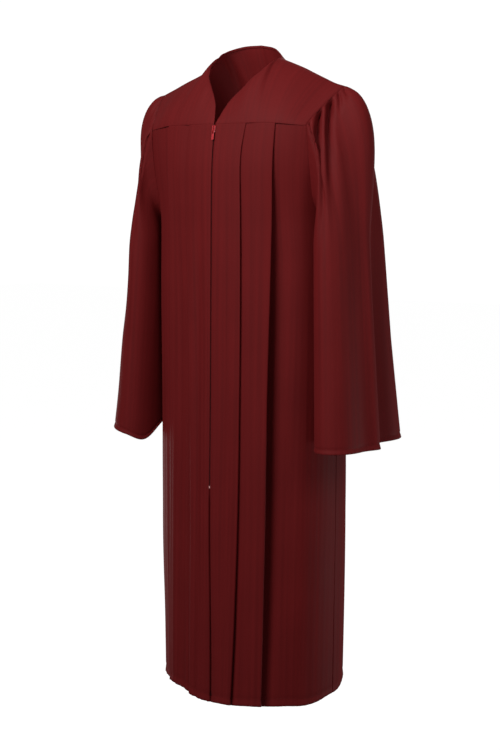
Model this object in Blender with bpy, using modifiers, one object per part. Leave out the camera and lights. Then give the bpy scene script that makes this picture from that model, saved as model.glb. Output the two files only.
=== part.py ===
"""Graduation gown, worn and hollow, with its front zip closed.

Metres, +Z up. The gown faces -Y and the wearer's left is +X. The origin lies between the two
shoulders, level with the points where the shoulder seams meet the neckline. Each cut piece of cloth
is an open surface, worked out from named sizes, with a Solidify wall.
"""

import math

import bmesh
import bpy
import numpy as np
from mathutils import Matrix, Vector

# Cloth
WALL = 0.0014
SEAM_GAP = 0.0003
# How far each sewn edge stops short of the seam's line
SEAM_EDGE = 0.0002
LAP = WALL + SEAM_GAP
UNDERARM_LAP = LAP + 0.0006
EDGE_CLEARANCE = 0.0004

# Shoulders and neck
SHOULDER_TIP = (0.2177, -0.0080, -0.0610)
NECK_POINT = (0.0760, -0.0330, 0.0000)
# The wearer's right shoulder hangs lower towards the neck: from the tip (0) to the neck point (1)
DROOP_COLUMNS = ("share", "drop")
NECK_DROOP_FROM = 0.60
DROOP_LEFT = ((0.0, 0.0), (1.0, 0.0))
DROOP_RIGHT = ((0.0, 0.0), (0.45, 0.0060), (0.75, 0.0095), (0.90, 0.0100), (1.0, 0.0050))
CURVE_COLUMNS = ("index", "x", "y", "z")
# Front neckline as x, y, z, from the foot of the V up to the neck point
NECKLINE = (
    (0.0020, -0.1290, -0.1292),
    (0.0130, -0.1098, -0.0959),
    (0.0225, -0.1002, -0.0798),
    (0.0386, -0.0866, -0.0592),
    (0.0511, -0.0764, -0.0420),
    (0.0624, -0.0638, -0.0292),
    (0.0717, -0.0500, -0.0150),
    NECK_POINT,
)
# Back neckline as x, y, z, from the neck point round to the centre back
BACK_NECKLINE = (
    NECK_POINT,
    (0.0735, -0.0145, 0.0085),
    (0.0600, 0.0045, 0.0185),
    (0.0350, 0.0205, 0.0265),
    (0.0000, 0.0280, 0.0295),
)

# Heights
FRONT_YOKE_HEIGHT = -0.1300
FRONT_YOKE_DROP = 0.0060
BACK_YOKE_HEIGHT = -0.1650
BACK_YOKE_RISE = 0.0150
YOKE_FULLNESS = 0.62
YOKE_EDGE_TENSION = 0.60
# Where the neck point's column meets the yoke seam, as a share of the way to the armhole, and how
# steeply the cloth stands at the centre of each neckline, in degrees
FRONT_NECK_SHARE = 0.52
BACK_NECK_SHARE = 0.50
FRONT_NECK_LIFT = 55.0
BACK_NECK_LIFT = 82.0
ZIP_FOOT_HEIGHT = -0.833
HEM_HEIGHT = -1.2620
CENTRE_EDGE = 0.0020
# Below the zip the opening hangs a little towards the wearer's left
OPENING_DRIFT = 0.0100

# Torso, as level sections through the cloth
TORSO_COLUMNS = ("height", "half_width", "depth_front", "depth_back", "squareness")
TORSO = (
    (-0.057, 0.2420, 0.116, 0.098, 2.30),
    (-0.130, 0.2350, 0.129, 0.110, 2.35),
    (-0.200, 0.2200, 0.138, 0.118, 2.30),
    (-0.269, 0.2060, 0.141, 0.124, 2.20),
    (-0.326, 0.2005, 0.142, 0.128, 2.15),
    (-0.600, 0.1990, 0.146, 0.143, 2.10),
    (-0.836, 0.1970, 0.151, 0.155, 2.08),
    (-1.050, 0.1950, 0.158, 0.161, 2.05),
    (-1.262, 0.1930, 0.165, 0.165, 2.05),
)

# Armhole edges on the torso, from the yoke's corner down to the underarm
ARMHOLE_COLUMNS = ("height", "x")
ARMHOLE_FRONT = ((-0.1360, 0.1850), (-0.1710, 0.1865), (-0.2250, 0.1860), (-0.2720, 0.1855),
                 (-0.3080, 0.1920), (-0.3260, 0.2000))
ARMHOLE_BACK = ((-0.1500, 0.1900), (-0.1850, 0.1900), (-0.2350, 0.1885), (-0.2780, 0.1880),
                (-0.3100, 0.1935), (-0.3260, 0.2000))

# Knife pleats: where the first and the second fold edge lie, and how far each stands off the cloth
# that comes out from under it
PLEAT_COLUMNS = ("height", "first_x", "first_drop", "second_x", "second_drop")
PLEATS_LEFT = (
    (-0.130, 0.0700, 0.0058, 0.1295, 0.0058),
    (-0.190, 0.0630, 0.0058, 0.1270, 0.0070),
    (-0.300, 0.0635, 0.0062, 0.1235, 0.0110),
    (-0.470, 0.0645, 0.0066, 0.1205, 0.0170),
    (-0.650, 0.0645, 0.0072, 0.1178, 0.0195),
    (-0.900, 0.0635, 0.0090, 0.1172, 0.0195),
    (-1.100, 0.0600, 0.0105, 0.1155, 0.0180),
    (-1.260, 0.0545, 0.0115, 0.1133, 0.0150),
)
PLEATS_RIGHT = (
    (-0.130, 0.0631, 0.0058, 0.1228, 0.0058),
    (-0.190, 0.0663, 0.0060, 0.1225, 0.0066),
    (-0.300, 0.0660, 0.0064, 0.1220, 0.0085),
    (-0.470, 0.0590, 0.0068, 0.1200, 0.0120),
    (-0.650, 0.0530, 0.0074, 0.1180, 0.0145),
    (-0.900, 0.0490, 0.0085, 0.1160, 0.0160),
    (-1.100, 0.0470, 0.0100, 0.1150, 0.0160),
    (-1.260, 0.0460, 0.0115, 0.1130, 0.0150),
)
PLEATS_BACK = (
    (-0.150, 0.0480, 0.0058, 0.1080, 0.0058),
    (-0.300, 0.0470, 0.0066, 0.1070, 0.0075),
    (-0.500, 0.0480, 0.0085, 0.1080, 0.0110),
    (-0.800, 0.0500, 0.0115, 0.1100, 0.0150),
    (-1.260, 0.0530, 0.0145, 0.1140, 0.0170),
)
PLEAT_UNDERLAP = 0.0220
PLEAT_RADIUS = 0.0013
PLEAT_RADIUS_AT_HEM = 0.0024
PLEAT_LEVEL_LENGTH = 0.0040

# Soft folds at the gown's sides, below the arms
SIDE_FOLD_DEPTH = 0.0070
SIDE_FOLD_COUNT = 1.5
SIDE_FOLD_START = -0.330
SIDE_FOLD_FULL = -0.750
# The drop over which the columns at the side space out evenly
SIDE_SETTLE_LENGTH = 0.30

# Sleeve sections as height, centre_x, centre_y, half_width, depth_front, depth_back
UPPER_ARM = (-0.360, 0.2252, -0.0050, 0.0465, 0.1000, 0.1000)
CUFF_LEFT = (-0.7460, 0.2513, -0.0188, 0.0570, 0.1132, 0.1500)
CUFF_RIGHT = (-0.7460, 0.2513, -0.0188, 0.0550, 0.0960, 0.1500)
# How far each cuff hangs below its level, by degrees round from the outer side
CUFF_DROP_COLUMNS = ("angle", "drop")
CUFF_DROP_LEFT = ((0.0, 0.0), (90.0, -0.0030), (180.0, 0.0), (360.0, 0.0))
CUFF_DROP_RIGHT = ((0.0, -0.0020), (60.0, 0.0), (95.0, 0.0100), (125.0, 0.0217), (160.0, -0.0110),
                   (200.0, -0.0160), (270.0, 0.0), (360.0, -0.0020))
CORNER_SHARE = 0.42
BODY_CLEARANCE = 0.0060
CLEARANCE_LENGTH = 0.030
SOFTNESS_AT_SEAM = 0.0010
SOFTNESS_BELOW = 0.0080
CAP_REACH = 0.262
UNDERARM_REACH = 0.016
# How the sleeve's cloth leaves the seam: its slope at the shoulder and under the arm, its splay to
# the front and the back
CAP_RISE = -0.26
UNDERARM_RISE = 0.10
SEAM_SPLAY = 0.40

# Gathers in the sleeve cap as place, depth, length, from the shoulder tip (0) to the yoke's corner (1)
GATHERS_FRONT = ((0.05, 0.0035, 0.035), (0.18, 0.0050, 0.045), (0.37, 0.0095, 0.150),
                 (0.66, 0.0085, 0.125), (0.93, 0.0040, 0.060))
GATHERS_BACK = ((0.10, 0.0040, 0.040), (0.28, 0.0075, 0.090), (0.48, 0.0090, 0.140),
                (0.70, 0.0070, 0.100), (0.92, 0.0040, 0.060))
GATHER_WIDTH = 0.075

# Long folds down the sleeve as angle, spread, depth at the cap, depth at the cuff: degrees round from
# the outer side, the front positive
FOLDS_LEFT = ((64.0, 15.0, -0.0010, -0.0040), (30.0, 13.0, 0.0010, 0.0060),
              (9.0, 9.0, -0.0030, -0.0070), (-26.0, 17.0, 0.0080, 0.0320))
FOLDS_RIGHT = ((70.0, 18.0, 0.0000, -0.0010), (30.0, 14.0, 0.0010, 0.0040),
               (4.0, 12.0, -0.0010, 0.0010), (-30.0, 18.0, 0.0060, 0.0260))

# Zip
TAPE_THICKNESS = 0.0010
TAPE_INNER = 0.0017
TAPE_OUTER = 0.0140
TAPE_TOP = -0.1312
TAPE_DEPTH = WALL / 2.0 + SEAM_GAP + TAPE_THICKNESS / 2.0 + 0.0001
CHAIN_HALF_WIDTH = 0.0014
CHAIN_THICKNESS = 0.0018
CHAIN_DEPTH = 0.0011
SLIDER_TOP = -0.1335
SLIDER_LENGTH = 0.0135
SLIDER_WIDTH = 0.0072
SLIDER_PLATE = 0.0016
SLIDER_CLEARANCE = 0.0004
SLIDER_NECK_LENGTH = 0.0045
SLIDER_NECK_WIDTH = 0.0022
BAIL_WIDTH = 0.0016
BAIL_LENGTH = 0.0090
BAIL_HEIGHT = 0.0034
BAIL_BAR = 0.0010
PULL_AXIS_ABOVE_BAIL_FOOT = 0.0023
PULL_WIDTH = 0.0052
PULL_LENGTH = 0.0200
PULL_THICKNESS = 0.0010
PULL_WINDOW_WIDTH = 0.0028
PULL_WINDOW_LENGTH = 0.0080
STOP_HEIGHT = 0.0040
STOP_THICKNESS = 0.0018

# How finely the surfaces are divided
PANEL_ROWS = (0.0, 0.003, 0.03, 0.08, 0.15, 0.24, 0.34, 0.48, 0.63, 0.76, 0.88, 1.0)
SLEEVE_ROWS = (0.0, 0.02, 0.05, 0.09, 0.14, 0.20, 0.27, 0.36, 0.47, 0.60, 0.73, 0.87, 1.0)
FOLD_STEPS = 3
FLAT_STEPS = 4
SIDE_SHARES = (0.0, 0.13, 0.26, 0.39, 0.52, 0.64, 0.76, 0.88, 0.985, 1.0)
SIDE_STEPS = len(SIDE_SHARES) - 1
CORNER_STEP = 4
CAP_STEPS = 22
UNDERARM_STEPS = 11
NECK_STEPS = 8
SHOULDER_STEPS = 6
YOKE_ROWS = (0.0, 0.02, 0.12, 0.25, 0.38, 0.50, 0.62, 0.74, 0.86, 0.98, 1.0)
SECTION_SAMPLES = 160

# Colours, as linear values
MAROON = (0.115, 0.0105, 0.0125, 1.0)
TAPE_RED = (0.085, 0.009, 0.011, 1.0)
ZIP_RED = (0.42, 0.016, 0.022, 1.0)


def ease(value):
    """A soft step from 0 to 1."""
    value = min(max(value, 0.0), 1.0)
    return value * value * (3.0 - 2.0 * value)


def mix(first, second, share):
    """The value that lies a share of the way from first to second."""
    return first + (second - first) * share


def table_value(table, columns, name, at):
    """Read a named column on a smooth curve through a table's rows, at a value of its first column."""
    keys = [row[0] for row in table]
    values = [row[columns.index(name)] for row in table]
    if keys[0] > keys[-1]:
        keys.reverse()
        values.reverse()
    at = min(max(at, keys[0]), keys[-1])
    index = 0
    while index < len(keys) - 2 and at > keys[index + 1]:
        index += 1

    def slope(place):
        low = max(place - 1, 0)
        high = min(place + 1, len(keys) - 1)
        return (values[high] - values[low]) / (keys[high] - keys[low])

    span = keys[index + 1] - keys[index]
    share = (at - keys[index]) / span
    square = share * share
    cube = square * share
    return ((2 * cube - 3 * square + 1) * values[index] + (cube - 2 * square + share) * span * slope(index)
            + (3 * square - 2 * cube) * values[index + 1] + (cube - square) * span * slope(index + 1))


def hermite(start, start_pull, end, end_pull, share):
    """A point on the cubic curve between two points with given pulls."""
    square = share * share
    cube = square * share
    return ((2 * cube - 3 * square + 1) * start + (cube - 2 * square + share) * start_pull
            + (3 * square - 2 * cube) * end + (cube - square) * end_pull)


class TorsoSection:
    """A quarter of the level section at one height, from the centre line to the side seam."""

    def __init__(self, height, front):
        half_width = table_value(TORSO, TORSO_COLUMNS, "half_width", height)
        depth = table_value(TORSO, TORSO_COLUMNS, "depth_front" if front else "depth_back", height)
        power = 2.0 / table_value(TORSO, TORSO_COLUMNS, "squareness", height)
        angles = np.linspace(0.0, math.pi / 2.0, SECTION_SAMPLES)
        self.x = half_width * np.sin(angles) ** power
        self.y = (-depth if front else depth) * np.cos(angles) ** power
        steps = np.hypot(np.diff(self.x), np.diff(self.y))
        self.run = np.concatenate(([0.0], np.cumsum(steps)))
        self.length = float(self.run[-1])

    def run_at_x(self, x):
        """How far along the section a point lies, from its distance to the centre plane."""
        return float(np.interp(x, self.x, self.run))

    def point(self, run, depth):
        """A point at a run from the centre line, moved in from the cloth's middle by a depth."""
        if run < 0.0:
            x, y = self.point(-run, depth)
            return -x, y
        step = self.length / SECTION_SAMPLES
        ahead = min(run + step, self.length)
        behind = max(run - step, 0.0)
        along_x = float(np.interp(ahead, self.run, self.x) - np.interp(behind, self.run, self.x))
        along_y = float(np.interp(ahead, self.run, self.y) - np.interp(behind, self.run, self.y))
        size = math.hypot(along_x, along_y)
        facing = -1.0 if self.y[0] < 0.0 else 1.0
        inward_x = -along_y / size * -facing
        inward_y = along_x / size * -facing
        if behind == 0.0:
            inward_x = 0.0
            inward_y = -facing
        if ahead == self.length:
            inward_x = -1.0
            inward_y = 0.0
        x = float(np.interp(run, self.run, self.x)) + inward_x * depth
        y = float(np.interp(run, self.run, self.y)) + inward_y * depth
        return x, y


SECTION_CACHE = {}


def torso_section(height, front):
    """The torso's section at a height, worked out once."""
    key = (round(height, 6), front)
    if key not in SECTION_CACHE:
        SECTION_CACHE[key] = TorsoSection(height, front)
    return SECTION_CACHE[key]


def torso_half_width(y, height):
    """The torso's distance from the centre plane at a depth y and a height."""
    section = torso_section(height, y < 0.0)
    ys = np.abs(section.y)[::-1]
    return float(np.interp(abs(y), ys, section.x[::-1]))


def yoke_seam_height(x, front):
    """The height of the yoke seam over the chest or the back, at a distance from the centre."""
    if front:
        share = ease((x - 0.110) / (ARMHOLE_FRONT[0][1] - 0.110))
        return FRONT_YOKE_HEIGHT - FRONT_YOKE_DROP * share
    share = ease((x - 0.040) / (ARMHOLE_BACK[0][1] - 0.040))
    return BACK_YOKE_HEIGHT + BACK_YOKE_RISE * share


def yoke_seam_point(x, front):
    """A point on the yoke seam."""
    height = yoke_seam_height(x, front)
    section = torso_section(height, front)
    px, py = section.point(section.run_at_x(x), 0.0)
    return np.array((px, py, height))


def armhole_point(share, front):
    """A point on the torso's armhole edge, from the yoke's corner (0) to the underarm (1)."""
    table = ARMHOLE_FRONT if front else ARMHOLE_BACK
    height = mix(table[0][0], table[-1][0], math.sin(share * math.pi / 2.0))
    section = torso_section(height, front)
    x = min(table_value(table, ARMHOLE_COLUMNS, "x", height), float(section.x[-1]))
    px, py = section.point(section.run_at_x(x), 0.0)
    return np.array((px, py, height))


def opening_drift(height, table):
    """How far the front opening's edge hangs off the centre plane on one side."""
    share = ease((height - ZIP_FOOT_HEIGHT) / (HEM_HEIGHT - ZIP_FOOT_HEIGHT))
    if table is PLEATS_LEFT:
        return OPENING_DRIFT * share
    if table is PLEATS_RIGHT:
        return -OPENING_DRIFT * share
    return 0.0


def pleat_profile(height, table, front):
    """The pleated section at a height, as (run, depth) pairs from the centre edge to the last pleat.

    Each pleat is an S of cloth: the outer layer turns back at the fold edge, runs under itself for
    the underlap, and turns out again as the next layer.
    """
    section = torso_section(height, front)
    radius = mix(PLEAT_RADIUS, PLEAT_RADIUS_AT_HEM, ease(height / HEM_HEIGHT))
    start = CENTRE_EDGE + opening_drift(height, table) if front else 0.0
    folds = []
    for fold in ("first", "second"):
        edge = section.run_at_x(table_value(table, PLEAT_COLUMNS, fold + "_x", height))
        drop = table_value(table, PLEAT_COLUMNS, fold + "_drop", height)
        drop = max(drop, 4.0 * radius + 0.0004)
        underlap = math.sqrt(PLEAT_UNDERLAP ** 2 - min(drop, 0.9 * PLEAT_UNDERLAP) ** 2)
        underlap = max(underlap, 0.0090)
        folds.append((edge, drop, underlap))
    points = []
    layer_start = start
    layer_drop = 0.0
    for edge, drop, underlap in folds:
        level_from = edge - underlap - PLEAT_LEVEL_LENGTH
        for step in range(FLAT_STEPS):
            run = mix(layer_start, edge - radius, step / FLAT_STEPS)
            share = (run - layer_start) / max(level_from - layer_start, 0.001)
            points.append((run, layer_drop * (1.0 - ease(share))))
        for step in range(FOLD_STEPS + 1):
            angle = math.pi * step / FOLD_STEPS
            points.append((edge - radius + radius * math.sin(angle), radius - radius * math.cos(angle)))
        for step in range(FOLD_STEPS + 1):
            angle = math.pi * step / FOLD_STEPS
            points.append((edge - underlap + radius - radius * math.sin(angle),
                           drop - radius - radius * math.cos(angle)))
        points.pop()
        layer_start = edge - underlap + radius
        layer_drop = drop
    return points, layer_start, layer_drop


def panel_columns(table, front):
    """The columns of half a body panel, from the centre to the side seam, as functions of height."""
    flat_count = len(pleat_profile(HEM_HEIGHT, table, front)[0])
    columns = []
    for index in range(flat_count):
        columns.append(("pleat", index))
    for step in range(SIDE_STEPS + 1):
        columns.append(("side", step))
    return columns


def side_share(corner_height, step, height, top_share):
    """How far a side column lies from the last pleat (0) to the side seam (1) at a height."""
    settle = ease((corner_height - height) / SIDE_SETTLE_LENGTH)
    return mix(top_share, SIDE_SHARES[step], settle)


def side_fold(share, height):
    """The depth of the soft folds at the gown's side."""
    grown = ease((height - SIDE_FOLD_START) / (SIDE_FOLD_FULL - SIDE_FOLD_START))
    wave = 0.5 - 0.5 * math.cos(2.0 * math.pi * SIDE_FOLD_COUNT * share)
    fade = ease((1.0 - share) / 0.15) * ease(share / 0.2)
    return SIDE_FOLD_DEPTH * grown * wave * fade


def half_panel(table, front):
    """Half of a front or a back panel at +X, as rows of points from the top down."""
    columns = panel_columns(table, front)
    yoke_edge = (ARMHOLE_FRONT if front else ARMHOLE_BACK)[0]
    grid = []
    tops = []
    for kind, index in columns:
        if kind == "pleat":
            top = yoke_seam_height(0.0, front)
            for _ in range(3):
                run = pleat_profile(top, table, front)[0][index][0]
                x = torso_section(top, front).point(run, 0.0)[0]
                top = yoke_seam_height(x, front)
            tops.append((top - SEAM_EDGE, 0.0))
            continue
        if index <= CORNER_STEP:
            corner_run = torso_section(yoke_edge[0], front).run_at_x(yoke_edge[1])
            section = torso_section(yoke_edge[0], front)
            layer_start = pleat_profile(yoke_edge[0], table, front)[1]
            corner_share = (corner_run - layer_start) / (section.length - layer_start)
            share = corner_share * index / CORNER_STEP
            x = section.point(mix(layer_start, section.length, share), 0.0)[0]
            top = yoke_seam_height(x, front)
            tops.append((top - SEAM_EDGE, share))
            continue
        beyond = (SIDE_SHARES[index] - SIDE_SHARES[CORNER_STEP]) / (1.0 - SIDE_SHARES[CORNER_STEP])
        point = armhole_point(beyond, front)
        section = torso_section(point[2], front)
        layer_start = pleat_profile(point[2], table, front)[1]
        share = (section.run_at_x(point[0]) - layer_start) / (section.length - layer_start)
        tops.append((point[2] - SEAM_EDGE, min(share, 1.0)))
    for down in PANEL_ROWS:
        row = []
        for (kind, index), (top, top_share) in zip(columns, tops):
            height = mix(top, HEM_HEIGHT, down)
            section = torso_section(height, front)
            profile, layer_start, layer_drop = pleat_profile(height, table, front)
            if kind == "pleat":
                run, depth = profile[index]
            else:
                share = side_share(yoke_edge[0], index, height, top_share)
                end = section.length - SEAM_EDGE
                run = mix(layer_start, end, share)
                depth = layer_drop * (1.0 - ease(share / 0.55)) + side_fold(share, height)
            x, y = section.point(run, depth)
            row.append((x, y, height))
        grid.append(row)
    return grid


def curve_point(points, share):
    """A point on a smooth curve through points, at a share of the way from the first to the last."""
    place = share * (len(points) - 1)
    rows = [(index,) + tuple(point) for index, point in enumerate(points)]
    return np.array([table_value(rows, CURVE_COLUMNS, axis, place) for axis in ("x", "y", "z")])


def neck_droop(droop, share):
    """How far a neckline hangs lower at a share of the way to the neck point."""
    return droop[-1][1] * ease((share - NECK_DROOP_FROM) / (1.0 - NECK_DROOP_FROM))


def neckline_front_point(share, droop):
    """A point on the front neckline, from the foot of the V (0) to the neck point (1)."""
    point = curve_point(NECKLINE, share)
    point[2] -= neck_droop(droop, share)
    return point


def neckline_back_point(share, droop):
    """A point on the back neckline, from the centre back (0) to the neck point (1)."""
    point = curve_point(BACK_NECKLINE, 1.0 - share)
    point[2] -= neck_droop(droop, share)
    return point


def shoulder_point(share, front, droop):
    """A point on the shoulder seam, from the shoulder tip (0) to the neck point (1)."""
    point = mix(np.array(SHOULDER_TIP), np.array(NECK_POINT), share)
    point[1] += -SEAM_EDGE if front else SEAM_EDGE
    point[2] -= table_value(droop, DROOP_COLUMNS, "drop", share)
    return point


def seam_lean(x, front):
    """The upward direction of the torso's cloth at the yoke seam."""
    height = yoke_seam_height(x, front)
    section = torso_section(height, front)
    share = section.run_at_x(x) / section.length
    ends = []
    for at in (height - 0.010, height + 0.010):
        level = torso_section(at, front)
        ends.append(np.array(level.point(share * level.length, 0.0) + (at,)))
    lean = ends[1] - ends[0]
    return lean / np.linalg.norm(lean)


def yoke_column(seam_x, top, top_lift, front, trim, edge_share):
    """A column of yoke points from the seam up to the top edge."""
    base = yoke_seam_point(seam_x, front)
    lean = seam_lean(seam_x, front)
    base += lean * SEAM_EDGE
    away = 1.0 if front else -1.0
    span = float(np.linalg.norm(top - base))
    slack = 1.0 - YOKE_EDGE_TENSION * ease((edge_share - 0.45) / 0.55)
    pull = span * YOKE_FULLNESS * slack
    base_pull = lean * pull
    top_pull = np.array((0.0, away * math.cos(top_lift), math.sin(top_lift))) * pull
    rows = []
    for share in YOKE_ROWS:
        point = hermite(base, base_pull, top, top_pull, share)
        point[0] = max(point[0], trim)
        rows.append(point)
    return rows


def front_yoke_grid(droop):
    """The left front yoke as rows of points, from the top edge down."""
    columns = []
    corner = ARMHOLE_FRONT[0][1]
    neck_x = corner * FRONT_NECK_SHARE
    for step in range(NECK_STEPS + 1):
        share = step / NECK_STEPS
        top = neckline_front_point(share, droop)
        lift = math.radians(mix(FRONT_NECK_LIFT, 0.0, ease(share)))
        columns.append(yoke_column(mix(CENTRE_EDGE, neck_x, share), top, lift, True, CENTRE_EDGE, 0.0))
    for step in range(1, SHOULDER_STEPS + 1):
        share = step / SHOULDER_STEPS
        top = shoulder_point(1.0 - share, True, droop)
        columns.append(yoke_column(mix(neck_x, corner, share), top, 0.0, True, CENTRE_EDGE, share))
    columns[NECK_STEPS][-1][1] -= SEAM_EDGE
    return transpose_up(columns)


def back_yoke_half_grid(droop):
    """Half of the back yoke at +X, from the centre back to the armhole."""
    columns = []
    corner = ARMHOLE_BACK[0][1]
    neck_x = corner * BACK_NECK_SHARE
    for step in range(NECK_STEPS + 1):
        share = step / NECK_STEPS
        top = neckline_back_point(share, droop)
        lift = math.radians(mix(BACK_NECK_LIFT, 0.0, ease(share)))
        columns.append(yoke_column(neck_x * share, top, lift, False, 0.0, 0.0))
    for step in range(1, SHOULDER_STEPS + 1):
        share = step / SHOULDER_STEPS
        top = shoulder_point(1.0 - share, False, droop)
        columns.append(yoke_column(mix(neck_x, corner, share), top, 0.0, False, 0.0, share))
    columns[NECK_STEPS][-1][1] += SEAM_EDGE
    return transpose_up(columns)


def transpose_up(columns):
    """Turn columns that run upwards into rows that run downwards."""
    count = len(columns[0])
    return [[tuple(column[count - 1 - row]) for column in columns] for row in range(count)]


def yoke_edge(grid):
    """The armhole edge of a yoke's grid, as (point, outward direction, direction off the edge)."""
    edge = []
    for row, line in enumerate(grid):
        here = np.array(line[-1])
        above = np.array(grid[max(row - 1, 0)][-1])
        below = np.array(grid[min(row + 1, len(grid) - 1)][-1])
        off = here - np.array(line[-2])
        along = above - below
        outward = np.cross(off, along)
        if outward[2] < 0.0:
            outward = -outward
        edge.append((here, outward / np.linalg.norm(outward), off / np.linalg.norm(off)))
    return edge


def armhole_frame(share, front):
    """A point of the torso's armhole edge with its outward direction and that off the edge."""
    point = armhole_point(share, front)
    section = torso_section(point[2], front)
    x, y = section.point(section.run_at_x(point[0]), -1.0)
    outward = np.array((x - point[0], y - point[1], 0.0))
    outward /= np.linalg.norm(outward)
    off = np.array((0.0, -outward[0] * np.sign(point[1]), 0.0)) * (1.0 - share)
    off += np.array((0.0, 0.0, 1.0)) * share
    return point, outward, off / np.linalg.norm(off)


def lapped(frame, lap):
    """A point laid over a seam's edge, at a lap outwards from it and a little off the edge."""
    point, outward, off = frame
    return point + outward * lap + off * EDGE_CLEARANCE


def along_edge(edge, share):
    """A lapped point at a share of the length down a yoke's armhole edge."""
    points = np.array([lapped(frame, LAP) for frame in edge])
    lengths = np.linalg.norm(np.diff(points, axis=0), axis=1)
    run = np.concatenate(([0.0], np.cumsum(lengths)))
    return np.array([np.interp(share * run[-1], run, points[:, axis]) for axis in range(3)])


def armhole_ring(droop):
    """The sleeve's sewn edge, round from the shoulder tip.

    Each entry is the start point, the angle round the sleeve in degrees and the place along the
    gathered cap, which is None under the arm and negative behind.
    """
    front_edge = yoke_edge(front_yoke_grid(droop))
    back_edge = yoke_edge(back_yoke_half_grid(droop))
    corner_angle = 180.0 * CORNER_SHARE
    ring = []
    for step in range(CAP_STEPS):
        share = step / CAP_STEPS
        ring.append((along_edge(front_edge, share), corner_angle * share, share))
    for step in range(UNDERARM_STEPS):
        share = step / UNDERARM_STEPS
        start = lapped(armhole_frame(share, True), mix(LAP, UNDERARM_LAP, ease(share * 4.0)))
        ring.append((start, mix(corner_angle, 180.0, share), None))
    for step in range(UNDERARM_STEPS):
        share = 1.0 - step / UNDERARM_STEPS
        start = lapped(armhole_frame(share, False), mix(LAP, UNDERARM_LAP, ease(share * 4.0)))
        ring.append((start, 360.0 - mix(corner_angle, 180.0, share), None))
    for step in range(CAP_STEPS):
        share = 1.0 - step / CAP_STEPS
        ring.append((along_edge(back_edge, share), 360.0 - corner_angle * share, -share))
    return ring


def sleeve_section_point(section, share):
    """A point of a level sleeve section, at a share of its girth from the outer side."""
    height, centre_x, centre_y, half_width, depth_front, depth_back = section
    angles = np.linspace(0.0, 2.0 * math.pi, 241)
    depths = np.where(np.sin(angles) >= 0.0, depth_front, depth_back)
    xs = centre_x + half_width * np.cos(angles)
    ys = centre_y - depths * np.sin(angles)
    run = np.concatenate(([0.0], np.cumsum(np.hypot(np.diff(xs), np.diff(ys)))))
    half = run[120]
    at = mix(0.0, half, share * 2.0) if share <= 0.5 else mix(half, run[-1], share * 2.0 - 1.0)
    return np.array((float(np.interp(at, run, xs)), float(np.interp(at, run, ys)), height))


def clear_of_torso(point, fallen):
    """Keep a sleeve point outside the torso's cloth, softly, at a distance below its seam."""
    grown = ease(fallen / CLEARANCE_LENGTH)
    clearance = mix(UNDERARM_LAP, BODY_CLEARANCE, grown)
    softness = mix(SOFTNESS_AT_SEAM, SOFTNESS_BELOW, grown)
    least = torso_half_width(point[1], max(point[2], HEM_HEIGHT)) + clearance
    difference = point[0] - least
    x = 0.5 * (point[0] + least + math.sqrt(difference * difference + softness ** 2))
    return np.array((x, point[1], point[2]))


def sleeve_grid(cuff_section, cuff_drop, folds, droop):
    """A sleeve at +X as rows of points from the armhole to the cuff."""
    ring = armhole_ring(droop)
    grid = []
    for down in SLEEVE_ROWS:
        row = []
        for start, angle, place in ring:
            share = angle / 360.0
            upper = sleeve_section_point(UPPER_ARM, share)
            cuff = sleeve_section_point(cuff_section, share)
            cuff[2] -= table_value(cuff_drop, CUFF_DROP_COLUMNS, "drop", angle)
            turn = math.radians(angle)
            round_top = 0.5 + 0.5 * math.cos(turn)
            direction = np.array((1.0, -SEAM_SPLAY * math.sin(turn), mix(UNDERARM_RISE, CAP_RISE, round_top)))
            direction /= np.linalg.norm(direction)
            reach = mix(UNDERARM_REACH, CAP_REACH, round_top)
            first = float(np.linalg.norm(upper - start))
            second = float(np.linalg.norm(cuff - upper))
            fall = (cuff - upper) / second
            at = down * (first + second)
            if at <= first:
                place_on = hermite(start, direction * reach, upper, fall * first * 0.9, at / first)
            else:
                place_on = mix(upper, cuff, (at - first) / second)
            row.append(clear_of_torso(place_on, at) if down > 0.0 else place_on)
        grid.append(row)
    return fold_sleeve(np.array(grid), ring, folds)


def fold_sleeve(grid, ring, folds):
    """Press the cap's gathers and the long folds into the sleeve."""
    rows, columns = grid.shape[:2]
    around = np.roll(grid, -1, axis=1) - np.roll(grid, 1, axis=1)
    along = np.gradient(grid, axis=0)
    outward = np.cross(around, along)
    outward /= np.linalg.norm(outward, axis=2, keepdims=True)
    lengths = np.linalg.norm(np.diff(grid, axis=0), axis=2)
    fallen = np.concatenate((np.zeros((1, columns)), np.cumsum(lengths, axis=0)))
    shaped = grid.copy()
    for row in range(rows):
        for column in range(columns):
            point, angle, place = ring[column]
            signed = angle if angle <= 180.0 else angle - 360.0
            inward = 0.0
            if place is not None:
                inward += gather_depth(place, fallen[row, column])
            share = ease((fallen[row, column] - 0.02) / 0.60)
            begun = ease(fallen[row, column] / 0.10)
            for middle, spread, at_cap, at_cuff in folds:
                near = math.exp(-((signed - middle) / spread) ** 2)
                inward += near * mix(at_cap, at_cuff, share) * begun
            shaped[row, column] -= outward[row, column] * inward
    return shaped.tolist()


def gather_depth(place, fallen):
    """How deep the cap's gathers are at a place round it and a distance below the seam."""
    table = GATHERS_FRONT if place >= 0.0 else GATHERS_BACK
    depth = 0.0
    for middle, deepest, length in table:
        near = math.exp(-((abs(place) - middle) / GATHER_WIDTH) ** 2)
        grown = ease(fallen / 0.022)
        faded = 1.0 - ease((fallen - 0.25 * length) / length)
        depth += near * deepest * mix(0.05, 1.0, grown) * faded
    return depth


def fabric_material(name, colour, roughness, metallic):
    """A material of one colour."""
    material = bpy.data.materials.new(name)
    material.use_nodes = True
    shader = material.node_tree.nodes["Principled BSDF"]
    shader.inputs["Base Color"].default_value = colour
    shader.inputs["Roughness"].default_value = roughness
    shader.inputs["Metallic"].default_value = metallic
    material.diffuse_color = colour
    return material


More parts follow.
